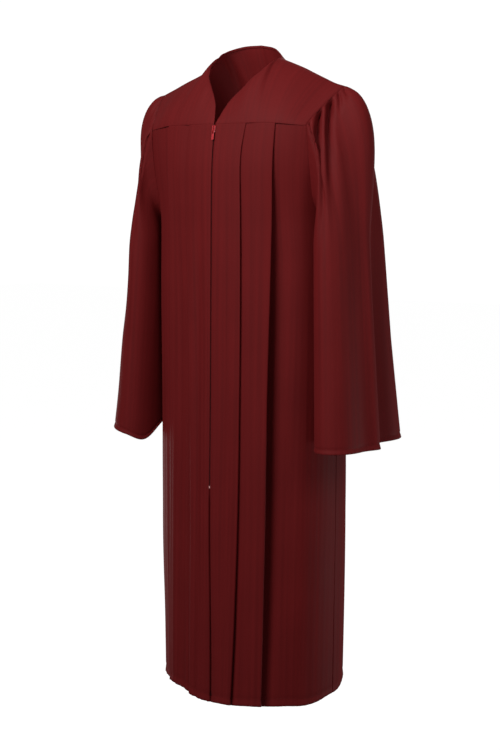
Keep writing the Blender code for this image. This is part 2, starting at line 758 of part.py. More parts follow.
def mirrored(grid):
    """A grid's mirror image across the centre plane."""
    return [[(-x, y, z) for x, y, z in row] for row in grid]


def grid_mesh(name, grid, flip, closed):
    """A mesh whose faces join the points of a grid."""
    work = bmesh.new()
    rows = [[work.verts.new(point) for point in row] for row in grid]
    count = len(rows[0])
    last = count if closed else count - 1
    for upper, lower in zip(rows, rows[1:]):
        for column in range(last):
            after = (column + 1) % count
            corners = [upper[column], upper[after], lower[after], lower[column]]
            if flip:
                corners.reverse()
            work.faces.new(corners)
    bmesh.ops.remove_doubles(work, verts=work.verts, dist=0.00002)
    mesh = bpy.data.meshes.new(name)
    work.to_mesh(mesh)
    work.free()
    mesh.shade_smooth()
    return mesh


def cloth_piece(name, grid, collection, material, flip=False, closed=False, wall=WALL):
    """A piece of cloth: a surface through a grid of points, with a wall centred on it."""
    mesh = grid_mesh(name, grid, flip, closed)
    mesh.materials.append(material)
    piece = bpy.data.objects.new(name, mesh)
    collection.objects.link(piece)
    shell = piece.modifiers.new("wall", "SOLIDIFY")
    shell.thickness = wall
    shell.offset = 0.0
    shell.use_rim = True
    return piece


def centre_heights(top, bottom):
    """The heights of the front panel's rows between two heights, with both ends."""
    first = FRONT_YOKE_HEIGHT - SEAM_GAP / 2.0
    rows = [mix(first, HEM_HEIGHT, down) for down in PANEL_ROWS]
    return [top] + [height for height in rows if bottom + 0.002 < height < top - 0.002] + [bottom]


def front_centre(x, depth, height):
    """A point behind the front panel's cloth near the centre, on the flat between two of its rows."""
    first = FRONT_YOKE_HEIGHT - SEAM_GAP / 2.0
    rows = [mix(first, HEM_HEIGHT, down) for down in PANEL_ROWS]
    ys = [torso_section(row, True).point(abs(x), depth)[1] for row in rows]
    return float(np.interp(-height, [-row for row in rows], ys))


def centre_strip(inner, outer, depth, top, bottom):
    """A strip beside the centre front, at a depth behind the cloth's middle, as rows of points."""
    grid = []
    for height in centre_heights(top, bottom):
        grid.append([(x, front_centre(x, depth, height), height) for x in (inner, outer)])
    return grid


def build_cloth(collection):
    """The yokes, the body panels and the sleeves."""
    cloth = fabric_material("maroon_cloth", MAROON, 0.75, 0.0)
    cloth_piece("yoke_front_left", front_yoke_grid(DROOP_LEFT), collection, cloth, flip=True)
    cloth_piece("yoke_front_right", mirrored(front_yoke_grid(DROOP_RIGHT)), collection, cloth)
    back_left = back_yoke_half_grid(DROOP_LEFT)
    back_right = mirrored(back_yoke_half_grid(DROOP_RIGHT))
    full_yoke = [right[:0:-1] + left for right, left in zip(back_right, back_left)]
    cloth_piece("yoke_back", full_yoke, collection, cloth)
    cloth_piece("front_left", half_panel(PLEATS_LEFT, True), collection, cloth, flip=True)
    cloth_piece("front_right", mirrored(half_panel(PLEATS_RIGHT, True)), collection, cloth)
    back = half_panel(PLEATS_BACK, False)
    full_back = [right[:0:-1] + left for right, left in zip(mirrored(back), back)]
    cloth_piece("back", full_back, collection, cloth)
    left_sleeve = sleeve_grid(CUFF_LEFT, CUFF_DROP_LEFT, FOLDS_LEFT, DROOP_LEFT)
    cloth_piece("sleeve_left", left_sleeve, collection, cloth, closed=True)
    right_sleeve = mirrored(sleeve_grid(CUFF_RIGHT, CUFF_DROP_RIGHT, FOLDS_RIGHT, DROOP_RIGHT))
    cloth_piece("sleeve_right", right_sleeve, collection, cloth, flip=True, closed=True)


def box(name, low, high, collection, material=None, bevel=0.0):
    """A box between two corners, with optional rounded edges."""
    work = bmesh.new()
    bmesh.ops.create_cube(work, size=1.0)
    size = Vector(high) - Vector(low)
    middle = (Vector(high) + Vector(low)) / 2.0
    work.transform(Matrix.Translation(middle) @ Matrix.Diagonal(size.to_4d()))
    mesh = bpy.data.meshes.new(name)
    work.to_mesh(mesh)
    work.free()
    solid = bpy.data.objects.new(name, mesh)
    if material:
        mesh.materials.append(material)
    collection.objects.link(solid)
    if bevel > 0.0:
        rounding = solid.modifiers.new("rounded", "BEVEL")
        rounding.width = bevel
        rounding.segments = 2
    return solid


def combine(solid, other, operation):
    """Join or cut a solid with another by an exact Boolean."""
    step = solid.modifiers.new(operation.lower(), "BOOLEAN")
    step.operation = operation
    step.solver = "EXACT"
    step.object = other
    other.hide_render = True
    other.display_type = "WIRE"


def build_tapes(collection):
    """The zip's tapes, behind the edges of the front panels, and its closed chain between them."""
    tape = fabric_material("zip_tape", TAPE_RED, 0.8, 0.0)
    teeth = fabric_material("zip_teeth", ZIP_RED, 0.45, 0.0)
    strip = centre_strip(TAPE_INNER, TAPE_OUTER, TAPE_DEPTH, TAPE_TOP, ZIP_FOOT_HEIGHT - 0.005)
    cloth_piece("zip_tape_left", strip, collection, tape, flip=True, wall=TAPE_THICKNESS)
    cloth_piece("zip_tape_right", mirrored(strip), collection, tape, wall=TAPE_THICKNESS)
    chain_top = SLIDER_TOP - SLIDER_NECK_LENGTH - 2.0 * SEAM_GAP
    chain = centre_strip(-CHAIN_HALF_WIDTH, CHAIN_HALF_WIDTH, CHAIN_DEPTH, chain_top,
                         ZIP_FOOT_HEIGHT + SEAM_GAP)
    cloth_piece("zip_chain", chain, collection, teeth, flip=True, wall=CHAIN_THICKNESS)


def build_slider(collection, cutters):
    """The slider, its pull on a hinge and the bottom stop, all square to the leaning cloth."""
    moulded = fabric_material("zip_red", ZIP_RED, 0.35, 0.0)
    middle = SLIDER_TOP - SLIDER_LENGTH / 2.0
    half_length = SLIDER_LENGTH / 2.0
    upper_y = front_centre(0.0, 0.0, SLIDER_TOP)
    lower_y = front_centre(0.0, 0.0, SLIDER_TOP - SLIDER_LENGTH)
    lean = math.atan2(lower_y - upper_y, SLIDER_LENGTH)
    seat = bpy.data.objects.new("slider_seat", None)
    seat.location = (0.0, (upper_y + lower_y) / 2.0, middle)
    seat.rotation_euler = (lean, 0.0, 0.0)
    collection.objects.link(seat)

    half = SLIDER_WIDTH / 2.0
    plate_back = -WALL / 2.0 - SLIDER_CLEARANCE
    plate_front = plate_back - SLIDER_PLATE
    under_front = TAPE_DEPTH + TAPE_THICKNESS / 2.0 + SLIDER_CLEARANCE
    slider = box("zip_slider", (-half, plate_front, -half_length), (half, plate_back, half_length),
                 collection, moulded, bevel=0.0005)
    under = box("slider_under_plate", (-half, under_front, -half_length),
                (half, under_front + SLIDER_PLATE * 0.75, half_length), cutters)
    neck = box("slider_neck",
               (-SLIDER_NECK_WIDTH / 2.0, plate_back - 0.0005, half_length - SLIDER_NECK_LENGTH),
               (SLIDER_NECK_WIDTH / 2.0, under_front + 0.0005, half_length - 0.0004), cutters)
    bail_top = half_length - 0.0012
    bail_foot = bail_top - BAIL_LENGTH
    bail_front = plate_front - BAIL_HEIGHT
    bail = box("slider_bail", (-BAIL_WIDTH / 2.0, bail_front, bail_foot),
               (BAIL_WIDTH / 2.0, plate_front + 0.0005, bail_top), cutters)
    eye = box("slider_bail_eye", (-BAIL_WIDTH, bail_front + BAIL_BAR, bail_foot + BAIL_BAR),
              (BAIL_WIDTH, plate_front - 0.00001, bail_top - BAIL_BAR), cutters)
    for piece in (slider, under, neck, bail, eye):
        piece.parent = seat
    combine(bail, eye, "DIFFERENCE")
    combine(slider, under, "UNION")
    combine(slider, neck, "UNION")
    combine(slider, bail, "UNION")

    hinge = bpy.data.objects.new("pull_hinge", None)
    hinge.location = (0.0, (plate_front + bail_front + BAIL_BAR) / 2.0,
                      bail_foot + PULL_AXIS_ABOVE_BAIL_FOOT)
    hinge.parent = seat
    collection.objects.link(hinge)
    half_pull = PULL_WIDTH / 2.0
    half_thick = PULL_THICKNESS / 2.0
    pull = box("zip_pull", (-half_pull, -half_thick, half_thick - PULL_LENGTH),
               (half_pull, half_thick, half_thick), collection, moulded, bevel=0.0002)
    window = box("pull_window", (-PULL_WINDOW_WIDTH / 2.0, -PULL_WIDTH, -half_thick - PULL_WINDOW_LENGTH),
                 (PULL_WINDOW_WIDTH / 2.0, PULL_WIDTH, -half_thick), cutters)
    for piece in (pull, window):
        piece.parent = hinge
    combine(pull, window, "DIFFERENCE")

    stop_y = front_centre(0.0, CHAIN_DEPTH, ZIP_FOOT_HEIGHT)
    stop_half = STOP_THICKNESS / 2.0
    box("zip_bottom_stop", (-CHAIN_HALF_WIDTH, stop_y - stop_half, ZIP_FOOT_HEIGHT - STOP_HEIGHT),
        (CHAIN_HALF_WIDTH, stop_y + stop_half, ZIP_FOOT_HEIGHT), collection, moulded, bevel=0.0003)


def main():
    """Build the gown in an empty scene."""
    for item in list(bpy.data.objects):
        bpy.data.objects.remove(item, do_unlink=True)
    gown = bpy.data.collections.new("graduation_gown")
    cutters = bpy.data.collections.new("cutters")
    bpy.context.scene.collection.children.link(gown)
    bpy.context.scene.collection.children.link(cutters)
    build_cloth(gown)
    build_tapes(gown)
    build_slider(gown, cutters)


main()
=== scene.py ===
"""Graduation gown: its cloth, stitching and zip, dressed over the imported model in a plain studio.

Metres, +Z up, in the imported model's frame: the gown faces -Y and the wearer's left is +X. Every cloth
piece is a sheet of its own cut, laid over the form that its solid has, with a finer drape.
"""

import logging
import math
from dataclasses import dataclass
from enum import Enum
from functools import cache

import bmesh
import bpy
import numpy as np
from mathutils import Matrix, Vector


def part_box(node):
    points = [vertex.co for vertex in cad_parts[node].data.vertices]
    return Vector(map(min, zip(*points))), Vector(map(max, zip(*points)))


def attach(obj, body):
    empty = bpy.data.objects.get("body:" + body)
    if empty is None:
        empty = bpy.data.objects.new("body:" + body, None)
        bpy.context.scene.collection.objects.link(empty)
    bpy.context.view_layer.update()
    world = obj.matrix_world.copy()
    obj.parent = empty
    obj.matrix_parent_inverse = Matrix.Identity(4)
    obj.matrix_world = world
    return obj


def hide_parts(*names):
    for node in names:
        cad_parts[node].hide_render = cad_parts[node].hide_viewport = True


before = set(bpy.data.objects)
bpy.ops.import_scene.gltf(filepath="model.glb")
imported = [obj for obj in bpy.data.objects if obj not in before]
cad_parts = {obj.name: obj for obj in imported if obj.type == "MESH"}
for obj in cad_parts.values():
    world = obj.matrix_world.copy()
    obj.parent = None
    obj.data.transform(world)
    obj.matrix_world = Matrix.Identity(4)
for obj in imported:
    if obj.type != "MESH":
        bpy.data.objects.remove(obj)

LOG = logging.getLogger("gown")
GOWN_BODY = "gown"
Array = np.ndarray
Value = Array | float
Point = tuple[float, float, float]
Steps = tuple[float, float, int]


class Face(Enum):
    """Which way a part of the gown looks."""

    FRONT = -1.0
    BACK = 1.0


class Side(Enum):
    """The wearer's left or right, as the sign of X."""

    LEFT = 1.0
    RIGHT = -1.0


def ease(value: Value) -> Value:
    """A soft step: 0 up to 0, 1 from 1 on and smooth between."""
    held = np.clip(value, 0.0, 1.0)
    return held * held * (3.0 - 2.0 * held)


def mix(first: Value, second: Value, share: Value) -> Value:
    """The value that lies a share of the way from first to second."""
    return first + (second - first) * share


def window(value: Value, start: float, end: float, rise: float, fall: float) -> Value:
    """1 well between two limits and 0 beyond them, with soft steps of the given lengths."""
    return ease((value - start) / rise) * ease((end - value) / fall)


def hermite(start: Array, start_pull: Array, end: Array, end_pull: Array, share: Array) -> Array:
    """A place on the cubic curve between two places.

    Args:
        start: where the curve starts.
        start_pull: its direction and strength there.
        end: where the curve ends.
        end_pull: its direction and strength there.
        share: how far along, from 0 to 1.

    Returns:
        The places, in the shape that the inputs broadcast to.
    """
    square = share * share
    cube = square * share
    return ((2 * cube - 3 * square + 1) * start + (cube - 2 * square + share) * start_pull
            + (3 * square - 2 * cube) * end + (cube - square) * end_pull)


def unit(vectors: Array) -> Array:
    """The vectors along the last axis, each of length 1."""
    return vectors / np.maximum(np.linalg.norm(vectors, axis=-1, keepdims=True), 1e-12)


def running(path: Array) -> Array:
    """The run along a path at each of its points."""
    return np.concatenate(([0.0], np.cumsum(np.linalg.norm(np.diff(path, axis=0), axis=1))))


def points_at(path: Array, run: Array, at: Value) -> Array:
    """The points of a path, with its runs known, at other runs along it."""
    return np.stack([np.interp(at, run, values) for values in path.T], axis=-1)


@dataclass(frozen=True)
class Table:
    """Rows of measures with named columns, read on a smooth curve through the rows."""

    columns: tuple[str, ...]
    rows: tuple[tuple[float, ...], ...]

    def read(self, name: str, at: Value) -> Array:
        """Read a column.

        Args:
            name: the column's name.
            at: where to read it, as values of the first column.

        Returns:
            The column's values there.
        """
        keys = np.array([row[0] for row in self.rows])
        values = np.array([row[self.columns.index(name)] for row in self.rows])
        if keys[0] > keys[-1]:
            keys = keys[::-1]
            values = values[::-1]
        held = np.clip(at, keys[0], keys[-1])
        slopes = np.gradient(values)
        slopes[1:-1] = (values[2:] - values[:-2]) / (keys[2:] - keys[:-2])
        slopes[0] = (values[1] - values[0]) / (keys[1] - keys[0])
        slopes[-1] = (values[-1] - values[-2]) / (keys[-1] - keys[-2])
        low = np.clip(np.searchsorted(keys, held, side="left") - 1, 0, len(keys) - 2)
        span = keys[low + 1] - keys[low]
        return hermite(values[low], slopes[low] * span, values[low + 1], slopes[low + 1] * span,
                       (held - keys[low]) / span)

    def value(self, at: Value) -> Array:
        """The second column of a table of two, at values of the first."""
        return self.read(self.columns[1], at)

    def curve(self, share: Value) -> Array:
        """Points on the curve through the rows, whose columns are index, x, y and z."""
        place = np.asarray(share) * (len(self.rows) - 1)
        return np.stack([self.read(axis, place) for axis in ("x", "y", "z")], axis=-1)


def indexed(*points: Point) -> Table:
    """A table of points in order, to be read as a curve."""
    return Table(("index", "x", "y", "z"), tuple((float(i),) + point for i, point in enumerate(points)))


def pairs(*rows: tuple[float, float]) -> Table:
    """A table of two columns, the second a measure that goes with the first."""
    return Table(("at", "value"), rows)


def spread(head: tuple[float, ...], body: Steps, foot: Steps) -> Array:
    """Shares of a way, close together at both ends, from a list and two even stretches."""
    return np.concatenate((head, np.linspace(*body), np.linspace(*foot)))


def sample(grid: Array, row: Array, column: Array) -> Array:
    """Read a grid between its points.

    Args:
        grid: the values, rows by columns.
        row: fractional row numbers.
        column: fractional column numbers.

    Returns:
        The values there.
    """
    row = np.clip(row, 0, grid.shape[0] - 1)
    column = np.clip(column, 0, grid.shape[1] - 1)
    top = np.minimum(row.astype(int), grid.shape[0] - 2)
    left = np.minimum(column.astype(int), grid.shape[1] - 2)
    down = row - top
    over = column - left
    return ((grid[top, left] * (1 - over) + grid[top, left + 1] * over) * (1 - down)
            + (grid[top + 1, left] * (1 - over) + grid[top + 1, left + 1] * over) * down)


class Nodes:
    """A short way to wire shader nodes."""

    def __init__(self, tree: bpy.types.NodeTree) -> None:
        """Work on one node tree."""
        self.tree = tree

    def add(self, kind: str, **settings: object) -> bpy.types.Node:
        """Add a node.

        Args:
            kind: the node's type.
            **settings: its properties by name.

        Returns:
            The node.
        """
        node = self.tree.nodes.new(kind)
        for name, value in settings.items():
            setattr(node, name, value)
        return node

    def link(self, source: bpy.types.NodeSocket, target: bpy.types.NodeSocket) -> None:
        """Join two sockets."""
        self.tree.links.new(source, target)

    def maths(self, operation: str, *values: bpy.types.NodeSocket | float) -> bpy.types.NodeSocket:
        """Add a Math node.

        Args:
            operation: what it works out.
            *values: its inputs, as sockets or numbers.

        Returns:
            Its result.
        """
        node = self.add("ShaderNodeMath", operation=operation)
        for socket, value in zip(node.inputs, values):
            if isinstance(value, bpy.types.NodeSocket):
                self.link(value, socket)
            else:
                socket.default_value = value
        return node.outputs[0]


def effect_group(name: str, inputs: dict[str, float | tuple[float, ...]], outputs: dict[str, str]
                 ) -> tuple[bpy.types.NodeTree, Nodes, bpy.types.Node, bpy.types.Node]:
    """Start a shader node group with named sockets.

    Args:
        name: the group's name.
        inputs: its inputs with their defaults.
        outputs: its outputs with their socket types.

    Returns:
        The group, its nodes, and its input and output nodes.
    """
    group = bpy.data.node_groups.new(name, "ShaderNodeTree")
    for label, value in inputs.items():
        kind = "NodeSocketFloat"
        if isinstance(value, tuple):
            kind = "NodeSocketColor" if len(value) == 4 else "NodeSocketVector"
        socket = group.interface.new_socket(label, in_out="INPUT", socket_type=kind)
        socket.default_value = value
    for label, kind in outputs.items():
        group.interface.new_socket(label, in_out="OUTPUT", socket_type=kind)
    nodes = Nodes(group)
    return group, nodes, nodes.add("NodeGroupInput"), nodes.add("NodeGroupOutput")


class Effects:
    """The effects that several finishes share, each a node group made once."""

    squeeze: Point = (1.0, 0.012, 1.0)
    streak_detail: float = 2.0
    streak_weight: float = 1.1
    cloud_detail: float = 3.0
    cloud_weight: float = 0.5
    dye_offset: float = -0.3
    grain_detail: float = 4.0
    grain_ceiling: float = 0.62
    grain_contrast: float = 3.0

    @classmethod
    @cache
    def weave(cls) -> bpy.types.NodeTree:
        """A plain weave's relief over the cut piece, with its pitch in metres.

        Returns:
            The node group.
        """
        group, nodes, given, result = effect_group(
            "weave", {"Place": (0.0, 0.0, 0.0), "Pitch": 0.0004}, {"Height": "NodeSocketFloat"})
        parts = nodes.add("ShaderNodeSeparateXYZ")
        nodes.link(given.outputs["Place"], parts.inputs[0])
        rate = nodes.maths("DIVIDE", math.pi, given.outputs["Pitch"])
        warp = nodes.maths("SINE", nodes.maths("MULTIPLY", parts.outputs["X"], rate))
        weft = nodes.maths("SINE", nodes.maths("MULTIPLY", parts.outputs["Y"], rate))
        nodes.link(nodes.maths("MULTIPLY_ADD", nodes.maths("MULTIPLY", warp, weft), 0.5, 0.5),
                   result.inputs["Height"])
        return group

    @classmethod
    @cache
    def dye(cls) -> bpy.types.NodeTree:
        """Dyed thread's uneven colour: fine streaks along the warp and a slow change over the piece.

        Returns:
            The node group.
        """
        group, nodes, given, result = effect_group(
            "dye", {"Place": (0.0, 0.0, 0.0), "Deep": (0.1, 0.01, 0.01, 1.0),
                    "Bright": (0.12, 0.01, 0.01, 1.0), "Streaks": 130.0, "Clouds": 9.0},
            {"Color": "NodeSocketColor", "Amount": "NodeSocketFloat"})
        squeeze = nodes.add("ShaderNodeVectorMath", operation="MULTIPLY")
        squeeze.inputs[1].default_value = cls.squeeze
        nodes.link(given.outputs["Place"], squeeze.inputs[0])
        streaks = nodes.add("ShaderNodeTexNoise")
        streaks.inputs["Detail"].default_value = cls.streak_detail
        nodes.link(squeeze.outputs[0], streaks.inputs["Vector"])
        nodes.link(given.outputs["Streaks"], streaks.inputs["Scale"])
        clouds = nodes.add("ShaderNodeTexNoise")
        clouds.inputs["Detail"].default_value = cls.cloud_detail
        nodes.link(given.outputs["Place"], clouds.inputs["Vector"])
        nodes.link(given.outputs["Clouds"], clouds.inputs["Scale"])
        streaked = nodes.maths("MULTIPLY", streaks.outputs["Fac"], cls.streak_weight)
        clouded = nodes.maths("MULTIPLY_ADD", clouds.outputs["Fac"], cls.cloud_weight, cls.dye_offset)
        amount = nodes.maths("ADD", streaked, clouded)
        blend = nodes.add("ShaderNodeMix", data_type="RGBA")
        nodes.link(amount, blend.inputs["Factor"])
        nodes.link(given.outputs["Deep"], blend.inputs["A"])
        nodes.link(given.outputs["Bright"], blend.inputs["B"])
        nodes.link(blend.outputs["Result"], result.inputs["Color"])
        nodes.link(amount, result.inputs["Amount"])
        return group

    @classmethod
    @cache
    def rub(cls) -> bpy.types.NodeTree:
        """Scuffs on a small hard piece, as a mask and a relief.

        Returns:
            The node group.
        """
        group, nodes, given, result = effect_group(
            "rub", {"Place": (0.0, 0.0, 0.0), "Scale": 700.0},
            {"Mask": "NodeSocketFloat", "Height": "NodeSocketFloat"})
        grain = nodes.add("ShaderNodeTexNoise")
        grain.inputs["Detail"].default_value = cls.grain_detail
        nodes.link(given.outputs["Place"], grain.inputs["Vector"])
        nodes.link(given.outputs["Scale"], grain.inputs["Scale"])
        nodes.link(nodes.maths("SMOOTH_MIN", grain.outputs["Fac"], cls.grain_ceiling),
                   result.inputs["Height"])
        nodes.link(nodes.maths("POWER", grain.outputs["Fac"], cls.grain_contrast),
                   result.inputs["Mask"])
        return group


@dataclass(frozen=True)
class Finish:
    """What a material looks like."""

    name: str
    deep: Point
    bright: Point
    roughness: float = 0.6
    unevenness: float = 0.12
    sheen: float = 0.0
    sheen_roughness: float = 0.4
    specular: float = 0.4
    metallic: float = 0.0
    sheen_tint: Point = (1.0, 0.1, 0.1)
    coat: float = 0.0
    coat_roughness: float = 0.12
    pitch: float = 0.00045
    relief: float = 0.25
    relief_depth: float = 0.0001
    woven: bool = True

    def material(self) -> bpy.types.Material:
        """The material, made once.

        Returns:
            The material.
        """
        found = bpy.data.materials.get(self.name)
        if found:
            return found
        made = bpy.data.materials.new(self.name)
        made.use_nodes = True
        nodes = Nodes(made.node_tree)
        shader = made.node_tree.nodes["Principled BSDF"]
        shader.inputs["Metallic"].default_value = self.metallic
        shader.inputs["Specular IOR Level"].default_value = self.specular
        shader.inputs["Sheen Weight"].default_value = self.sheen
        shader.inputs["Sheen Roughness"].default_value = self.sheen_roughness
        shader.inputs["Sheen Tint"].default_value = self.sheen_tint + (1.0,)
        shader.inputs["Coat Weight"].default_value = self.coat
        shader.inputs["Coat Roughness"].default_value = self.coat_roughness
        place = self.place(nodes)
        dye = self.effect(nodes, Effects.dye(), place)
        dye.inputs["Deep"].default_value = self.deep + (1.0,)
        dye.inputs["Bright"].default_value = self.bright + (1.0,)
        nodes.link(dye.outputs["Color"], shader.inputs["Base Color"])
        uneven = nodes.maths("MULTIPLY_ADD", dye.outputs["Amount"], self.unevenness,
                             self.roughness - self.unevenness / 2.0)
        nodes.link(uneven, shader.inputs["Roughness"])
        relief = self.effect(nodes, Effects.weave() if self.woven else Effects.rub(), place)
        if self.woven:
            relief.inputs["Pitch"].default_value = self.pitch
        bump = nodes.add("ShaderNodeBump")
        bump.inputs["Strength"].default_value = self.relief
        bump.inputs["Distance"].default_value = self.relief_depth
        nodes.link(relief.outputs["Height"], bump.inputs["Height"])
        nodes.link(bump.outputs["Normal"], shader.inputs["Normal"])
        return made

    def place(self, nodes: Nodes) -> bpy.types.NodeSocket:
        """Where the pattern is read: over the cut piece on cloth, else in the object.

        Args:
            nodes: the material's nodes.

        Returns:
            The coordinates.
        """
        if self.woven:
            return nodes.add("ShaderNodeUVMap", uv_map="cut").outputs["UV"]
        return nodes.add("ShaderNodeTexCoord").outputs["Object"]

    def effect(self, nodes: Nodes, group: bpy.types.NodeTree,
               place: bpy.types.NodeSocket) -> bpy.types.Node:
        """Place a shared effect in the material.

        Args:
            nodes: the material's nodes.
            group: the effect.
            place: where its pattern is read.

        Returns:
            The effect's node.
        """
        node = nodes.add("ShaderNodeGroup", node_tree=group)
        nodes.link(place, node.inputs["Place"])
        return node


@dataclass
class TorsoForm:
    """The closed form that the yokes and panels hang over, as level sections."""

    levels: Table = Table(
        ("height", "half_width", "depth_front", "depth_back", "squareness"),
        ((-0.057, 0.242, 0.116, 0.098, 2.3),
         (-0.13, 0.235, 0.129, 0.11, 2.35),
         (-0.2, 0.22, 0.138, 0.118, 2.3),
         (-0.269, 0.206, 0.141, 0.124, 2.2),
         (-0.326, 0.2005, 0.142, 0.128, 2.15),
         (-0.6, 0.199, 0.146, 0.143, 2.18),
         (-0.836, 0.1975, 0.151, 0.155, 2.22),
         (-1.05, 0.1955, 0.158, 0.161, 2.2),
         (-1.262, 0.193, 0.165, 0.165, 2.12)))
    top: float = -0.055
    hem: float = -1.262
    level_step: float = 0.005
    samples: int = 141

    def __post_init__(self) -> None:
        """Work out the sections of both faces at every level."""
        self.heights = np.linspace(self.hem, self.top, round((self.top - self.hem) / self.level_step) + 1)
        self.angles = np.linspace(0.0, math.pi / 2.0, self.samples)
        self.even = {}
        self.run = {}
        for face in Face:
            self.even[face], self.run[face] = self.sections(face)

    def depth_name(self, face: Face) -> str:
        """The column that holds a face's depth."""
        return "depth_front" if face is Face.FRONT else "depth_back"

    def sections(self, face: Face) -> tuple[Array, Array]:
        """Work out one face's sections.

        Args:
            face: front or back.

        Returns:
            Points evenly spaced along each section, and the run along it at each angle.
        """
        half_width = self.levels.read("half_width", self.heights)[:, None]
        depth = self.levels.read(self.depth_name(face), self.heights)[:, None] * face.value
        power = 2.0 / self.levels.read("squareness", self.heights)[:, None]
        x = half_width * np.sin(self.angles) ** power
        y = depth * np.cos(self.angles) ** power
        steps = np.hypot(np.diff(x, axis=1), np.diff(y, axis=1))
        run = np.concatenate((np.zeros((len(x), 1)), np.cumsum(steps, axis=1)), axis=1)
        even = np.empty((len(x), self.samples, 2))
        for level, ends in enumerate(run):
            at = np.linspace(0.0, ends[-1], self.samples)
            even[level, :, 0] = np.interp(at, ends, x[level])
            even[level, :, 1] = np.interp(at, ends, y[level])
        return even, run

    def level(self, height: Array) -> Array:
        """The fractional level number of a height."""
        return (np.asarray(height) - self.hem) / (self.top - self.hem) * (len(self.heights) - 1)

    def length(self, face: Face, height: Array) -> Array:
        """The run from the centre line to the side seam at a height."""
        return np.interp(height, self.heights, self.run[face][:, -1])

    def run_at_x(self, face: Face, height: Array, x: Array) -> Array:
        """The run from the centre line to the point of the section at a distance x from it.

        Args:
            face: front or back.
            height: the section's height.
            x: the distance.

        Returns:
            The run along the section.
        """
        half_width = self.levels.read("half_width", height)
        power = 2.0 / self.levels.read("squareness", height)
        angle = np.arcsin(np.clip(x / half_width, 0.0, 1.0) ** (1.0 / power))
        return sample(self.run[face], self.level(height), angle / self.angles[-1] * (self.samples - 1))

    def even_point(self, face: Face, level: Array, share: Array) -> tuple[Array, Array]:
        """A section's point at a share of its run, which goes on mirrored past either end.

        Args:
            face: front or back.
            level: the fractional level number.
            share: how far from the centre line to the side seam.

        Returns:
            The point's x and y.
        """
        within = np.abs(share)
        past = within > 1.0
        column = np.where(past, 2.0 - within, within) * (self.samples - 1)
        x = sample(self.even[face][..., 0], level, column)
        y = sample(self.even[face][..., 1], level, column)
        return x * np.where(share < 0.0, -1.0, 1.0), y * np.where(past, -1.0, 1.0)

    def place(self, face: Face, height: Array, run: Array, depth: Array) -> Array:
        """Places on the form.

        Args:
            face: front or back.
            height: the height of each place.
            run: how far it lies from the centre line along the section.
            depth: how far it lies in from the section.

        Returns:
            The places, with x, y and z along the last axis.
        """
        height, run, depth = (np.asarray(part, float) for part in np.broadcast_arrays(height, run, depth))
        level = self.level(height)
        share = run / self.length(face, height)
        step = 1.0 / (self.samples - 1)
        x, y = self.even_point(face, level, share)
        ahead_x, ahead_y = self.even_point(face, level, share + step)
        behind_x, behind_y = self.even_point(face, level, share - step)
        along = np.maximum(np.hypot(ahead_x - behind_x, ahead_y - behind_y), 1e-9)
        x = x + face.value * (ahead_y - behind_y) / along * depth
        y = y - face.value * (ahead_x - behind_x) / along * depth
        return np.stack((x, y, height), axis=-1)

    def half_width_at(self, y: Array, height: Array) -> Array:
        """The form's distance from the centre plane at a depth y and a height.

        Args:
            y: the depth.
            height: the height.

        Returns:
            The distance.
        """
        front = self.levels.read("depth_front", height)
        back = self.levels.read("depth_back", height)
        power = self.levels.read("squareness", height)
        share = np.clip(np.abs(y) / np.where(y < 0.0, front, back), 0.0, 1.0)
        return self.levels.read("half_width", height) * (1.0 - share ** power) ** (1.0 / power)


